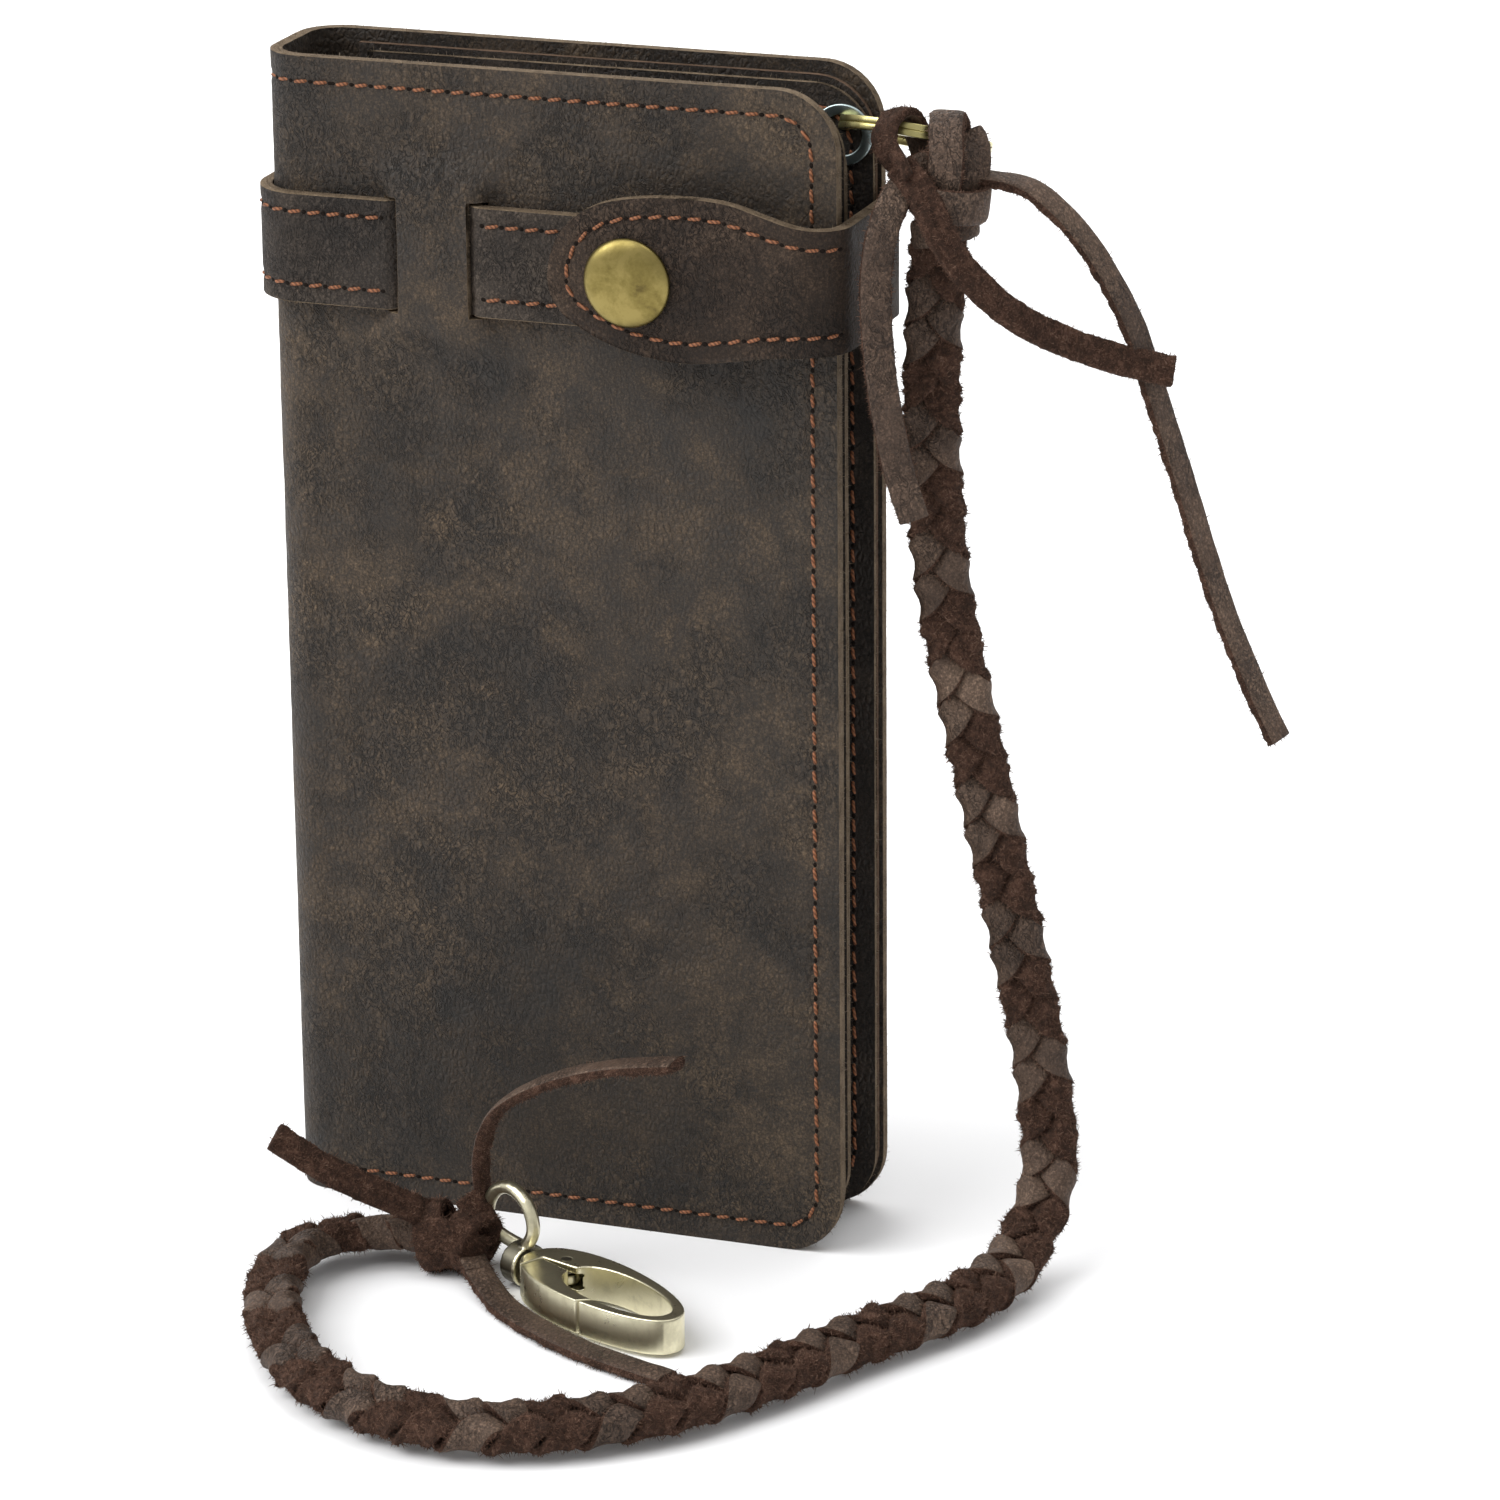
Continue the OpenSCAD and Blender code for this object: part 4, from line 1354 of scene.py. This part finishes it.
def make_cover_stitches():
    outline = cover_outline(HALF_W, 0, HEIGHT, CORNER_R, STITCH_IN, COVER_SIDE_X)
    inner_y = HALF_T - COVER_T - STRAP_GAP - 1.06
    for name, side, body in (("front", -1, "front_half"), ("back", 1, "back_half")):
        line = [(x, side * (HALF_T - 0.16), z) for x, z in outline]
        stitches(f"{name}_stitches", line, [(0, side, 0)] * len(line), body, f"cover_{name}_skin",
                 seed=side + 3)
        if side < 0:
            inner = [(x, side * inner_y, z) for x, z in outline]
            stitches("lining_stitches", inner, [(0, 1, 0)] * len(inner), body, "lining_front_skin", seed=9)
    # the rows run on round the spine, top and bottom
    for name, side in (("front", -1), ("back", 1)):
        for label, z in (("top", HEIGHT - STITCH_IN), ("bottom", STITCH_IN)):
            line, normals = wrap_line(0.0, wrap_s(COVER_SIDE_X, 0.0), 0.0, side, z)
            stitches(f"spine_{name}_stitches_{label}", line, normals, None, f"cover_{name}_skin",
                     blend=spine_blend(side), seed=11)


def make_strap_stitches():
    outset = STRAP_GAP + STRAP_T - 0.06
    inset = STRAP_W / 2 - STRAP_STITCH_IN
    for label, z in (("upper", STRAP_Z + inset), ("lower", STRAP_Z - inset)):
        for part, s0, s1 in (("wrap", 0.0, wrap_s(BRIDGE[0] - SLIT_W, outset)),
                             ("end", wrap_s(BRIDGE[1] + SLIT_W, outset), wrap_s(4.0, outset))):
            line, normals = wrap_line(s0, s1, outset, -1, z)
            stitches(f"strap_stitches_{label}_{part}", line, normals, None, "strap_front_skin",
                     STRAP_PITCH, spine_blend(-1), 15)
        line, normals = wrap_line(0.0, wrap_s(48.0, outset), outset, 1, z)
        stitches(f"strap_stitches_{label}_back", line, normals, None, "strap_back_skin",
                 STRAP_PITCH, spine_blend(1), 17)


def make_inner_stitches():
    line, normals = tab_stitch_line()
    stitches("tab_stitches", line, normals, None, "strap_tab_skin", blend=TAB_BLEND, seed=19)
    outline = cover_outline(HALF_W - 0.5, 0.5, HEIGHT - 3, CORNER_R, 3.6, -34.0)
    leaf = [(x, 7.24, z) for x, z in outline]
    stitches("leaf_stitches", leaf, [(0, -1, 0)] * len(leaf), "back_half", "leaf_skin", seed=23)
    outline = cover_outline(PAGE_W, 1, 192, CORNER_R, 3.4, 6.0)
    page = [on_page((x, 0.06, z)) for x, z in outline]
    normal = (math.sin(PAGE_LEAN), -math.cos(PAGE_LEAN), 0)
    stitches("page_stitches", page, [normal] * len(page), "spine", "page_front_skin", seed=29)


make_cover_stitches()
make_strap_stitches()
make_inner_stitches()


# ---- metal ----

def lathe(name, profile, centre, materials, sides=96):
    """A turned part round an axis along -Y: profile is (radius, distance towards the front)."""
    points = []
    for r, h in profile:
        for k in range(sides):
            angle = 2 * math.pi * k / sides
            points.append((centre[0] + r * math.cos(angle), centre[1] - h, centre[2] + r * math.sin(angle)))
    faces = grid_faces(len(profile), sides, closed=True)
    faces.append(tuple(range(sides - 1, -1, -1)))
    faces.append(tuple((len(profile) - 1) * sides + k for k in range(sides)))
    return make_object(name, points, faces, materials)


def refined(node, name, width, material, body, cast=0.0):
    """A copy of a CAD metal part with its edges broken. A cast part is also remeshed and eased all over;
    cast is the size of its new faces in mm."""
    obj = add_object(name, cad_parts[node].data.copy())
    obj.data.materials.clear()
    obj.data.materials.append(material)
    modify(obj, "WELD", merge_threshold=0.005 * MM)
    if width:
        modify(obj, "BEVEL", limit_method="ANGLE", angle_limit=math.radians(40), width=width * MM,
               segments=3)
    if cast:
        modify(obj, "REMESH", mode="VOXEL", voxel_size=cast * MM)
        modify(obj, "SMOOTH", factor=0.5, iterations=5)
    apply_modifiers(obj)
    shade_smooth(obj.data)
    if not cast:
        obj.data.set_sharp_from_angle(angle=math.radians(50))
    return settle(obj, body, [node])


CAP_FACE = 18.7
CAP_R = 7.2
# The cap's dome as radius and height, from its rim to its middle
CAP_DOME = [(CAP_R - 0.9, -0.05), (CAP_R - 0.25, -0.02), (CAP_R, 0.22), (CAP_R + 0.02, 0.45),
            (CAP_R - 0.1, 0.75), (CAP_R - 0.42, 1.1), (CAP_R - 0.95, 1.42), (CAP_R - 1.9, 1.76),
            (CAP_R - 3.1, 2.0), (3.0, 2.16), (1.6, 2.25), (0.4, 2.28)]


def make_snap():
    cap = lathe("snap_cap_dome", CAP_DOME, (SNAP_X, -CAP_FACE, STRAP_Z), [BRASS_CAP])
    settle(cap, "tab", ["snap_cap"])
    refined("snap_socket", "snap_socket_ring", 0.2, BRONZE, "tab")
    refined("snap_stud", "snap_stud_post", 0.2, BRASS, "front_half")
    refined("snap_rivet", "snap_rivet_head", 0.15, BRONZE, "front_half")


COLLAR_OFF = Vector((2.0, -1.2, 0))
COLLAR_R = 4.6


def make_clasp_eye():
    """The clasp's eye, with bronze faces where its collar holds the swivel post."""
    eye = refined("clasp_eye", "clasp_eye_ring", 0.0, BRASS, "lanyard", cast=0.2)
    eye.data.materials.append(BRONZE)
    low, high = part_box("swivel_post")
    collar = (low + high) / 2 - COLLAR_OFF * MM
    for face in eye.data.polygons:
        if (face.center - collar).length < COLLAR_R * MM:
            face.material_index = 1


def make_metal():
    refined("eyelet", "eyelet_ring", 0.25, STEEL, "back_half")
    refined("split_ring", "split_ring_wire", 0.16, RING_BRASS, "ring")
    make_clasp_eye()
    refined("swivel_post", "swivel_post_pin", 0.0, BRONZE, "clasp", cast=0.16)
    refined("clasp_frame", "clasp_frame_body", 0.0, BRASS, "clasp", cast=0.2)
    refined("clasp_gate", "clasp_gate_lever", 0.0, BRASS, "gate", cast=0.2)
    refined("gate_pin", "gate_pin_rod", 0.15, BRONZE, "clasp")
    refined("gate_spring", "gate_spring_coil", 0.0, BRONZE, "clasp")


make_snap()
make_metal()
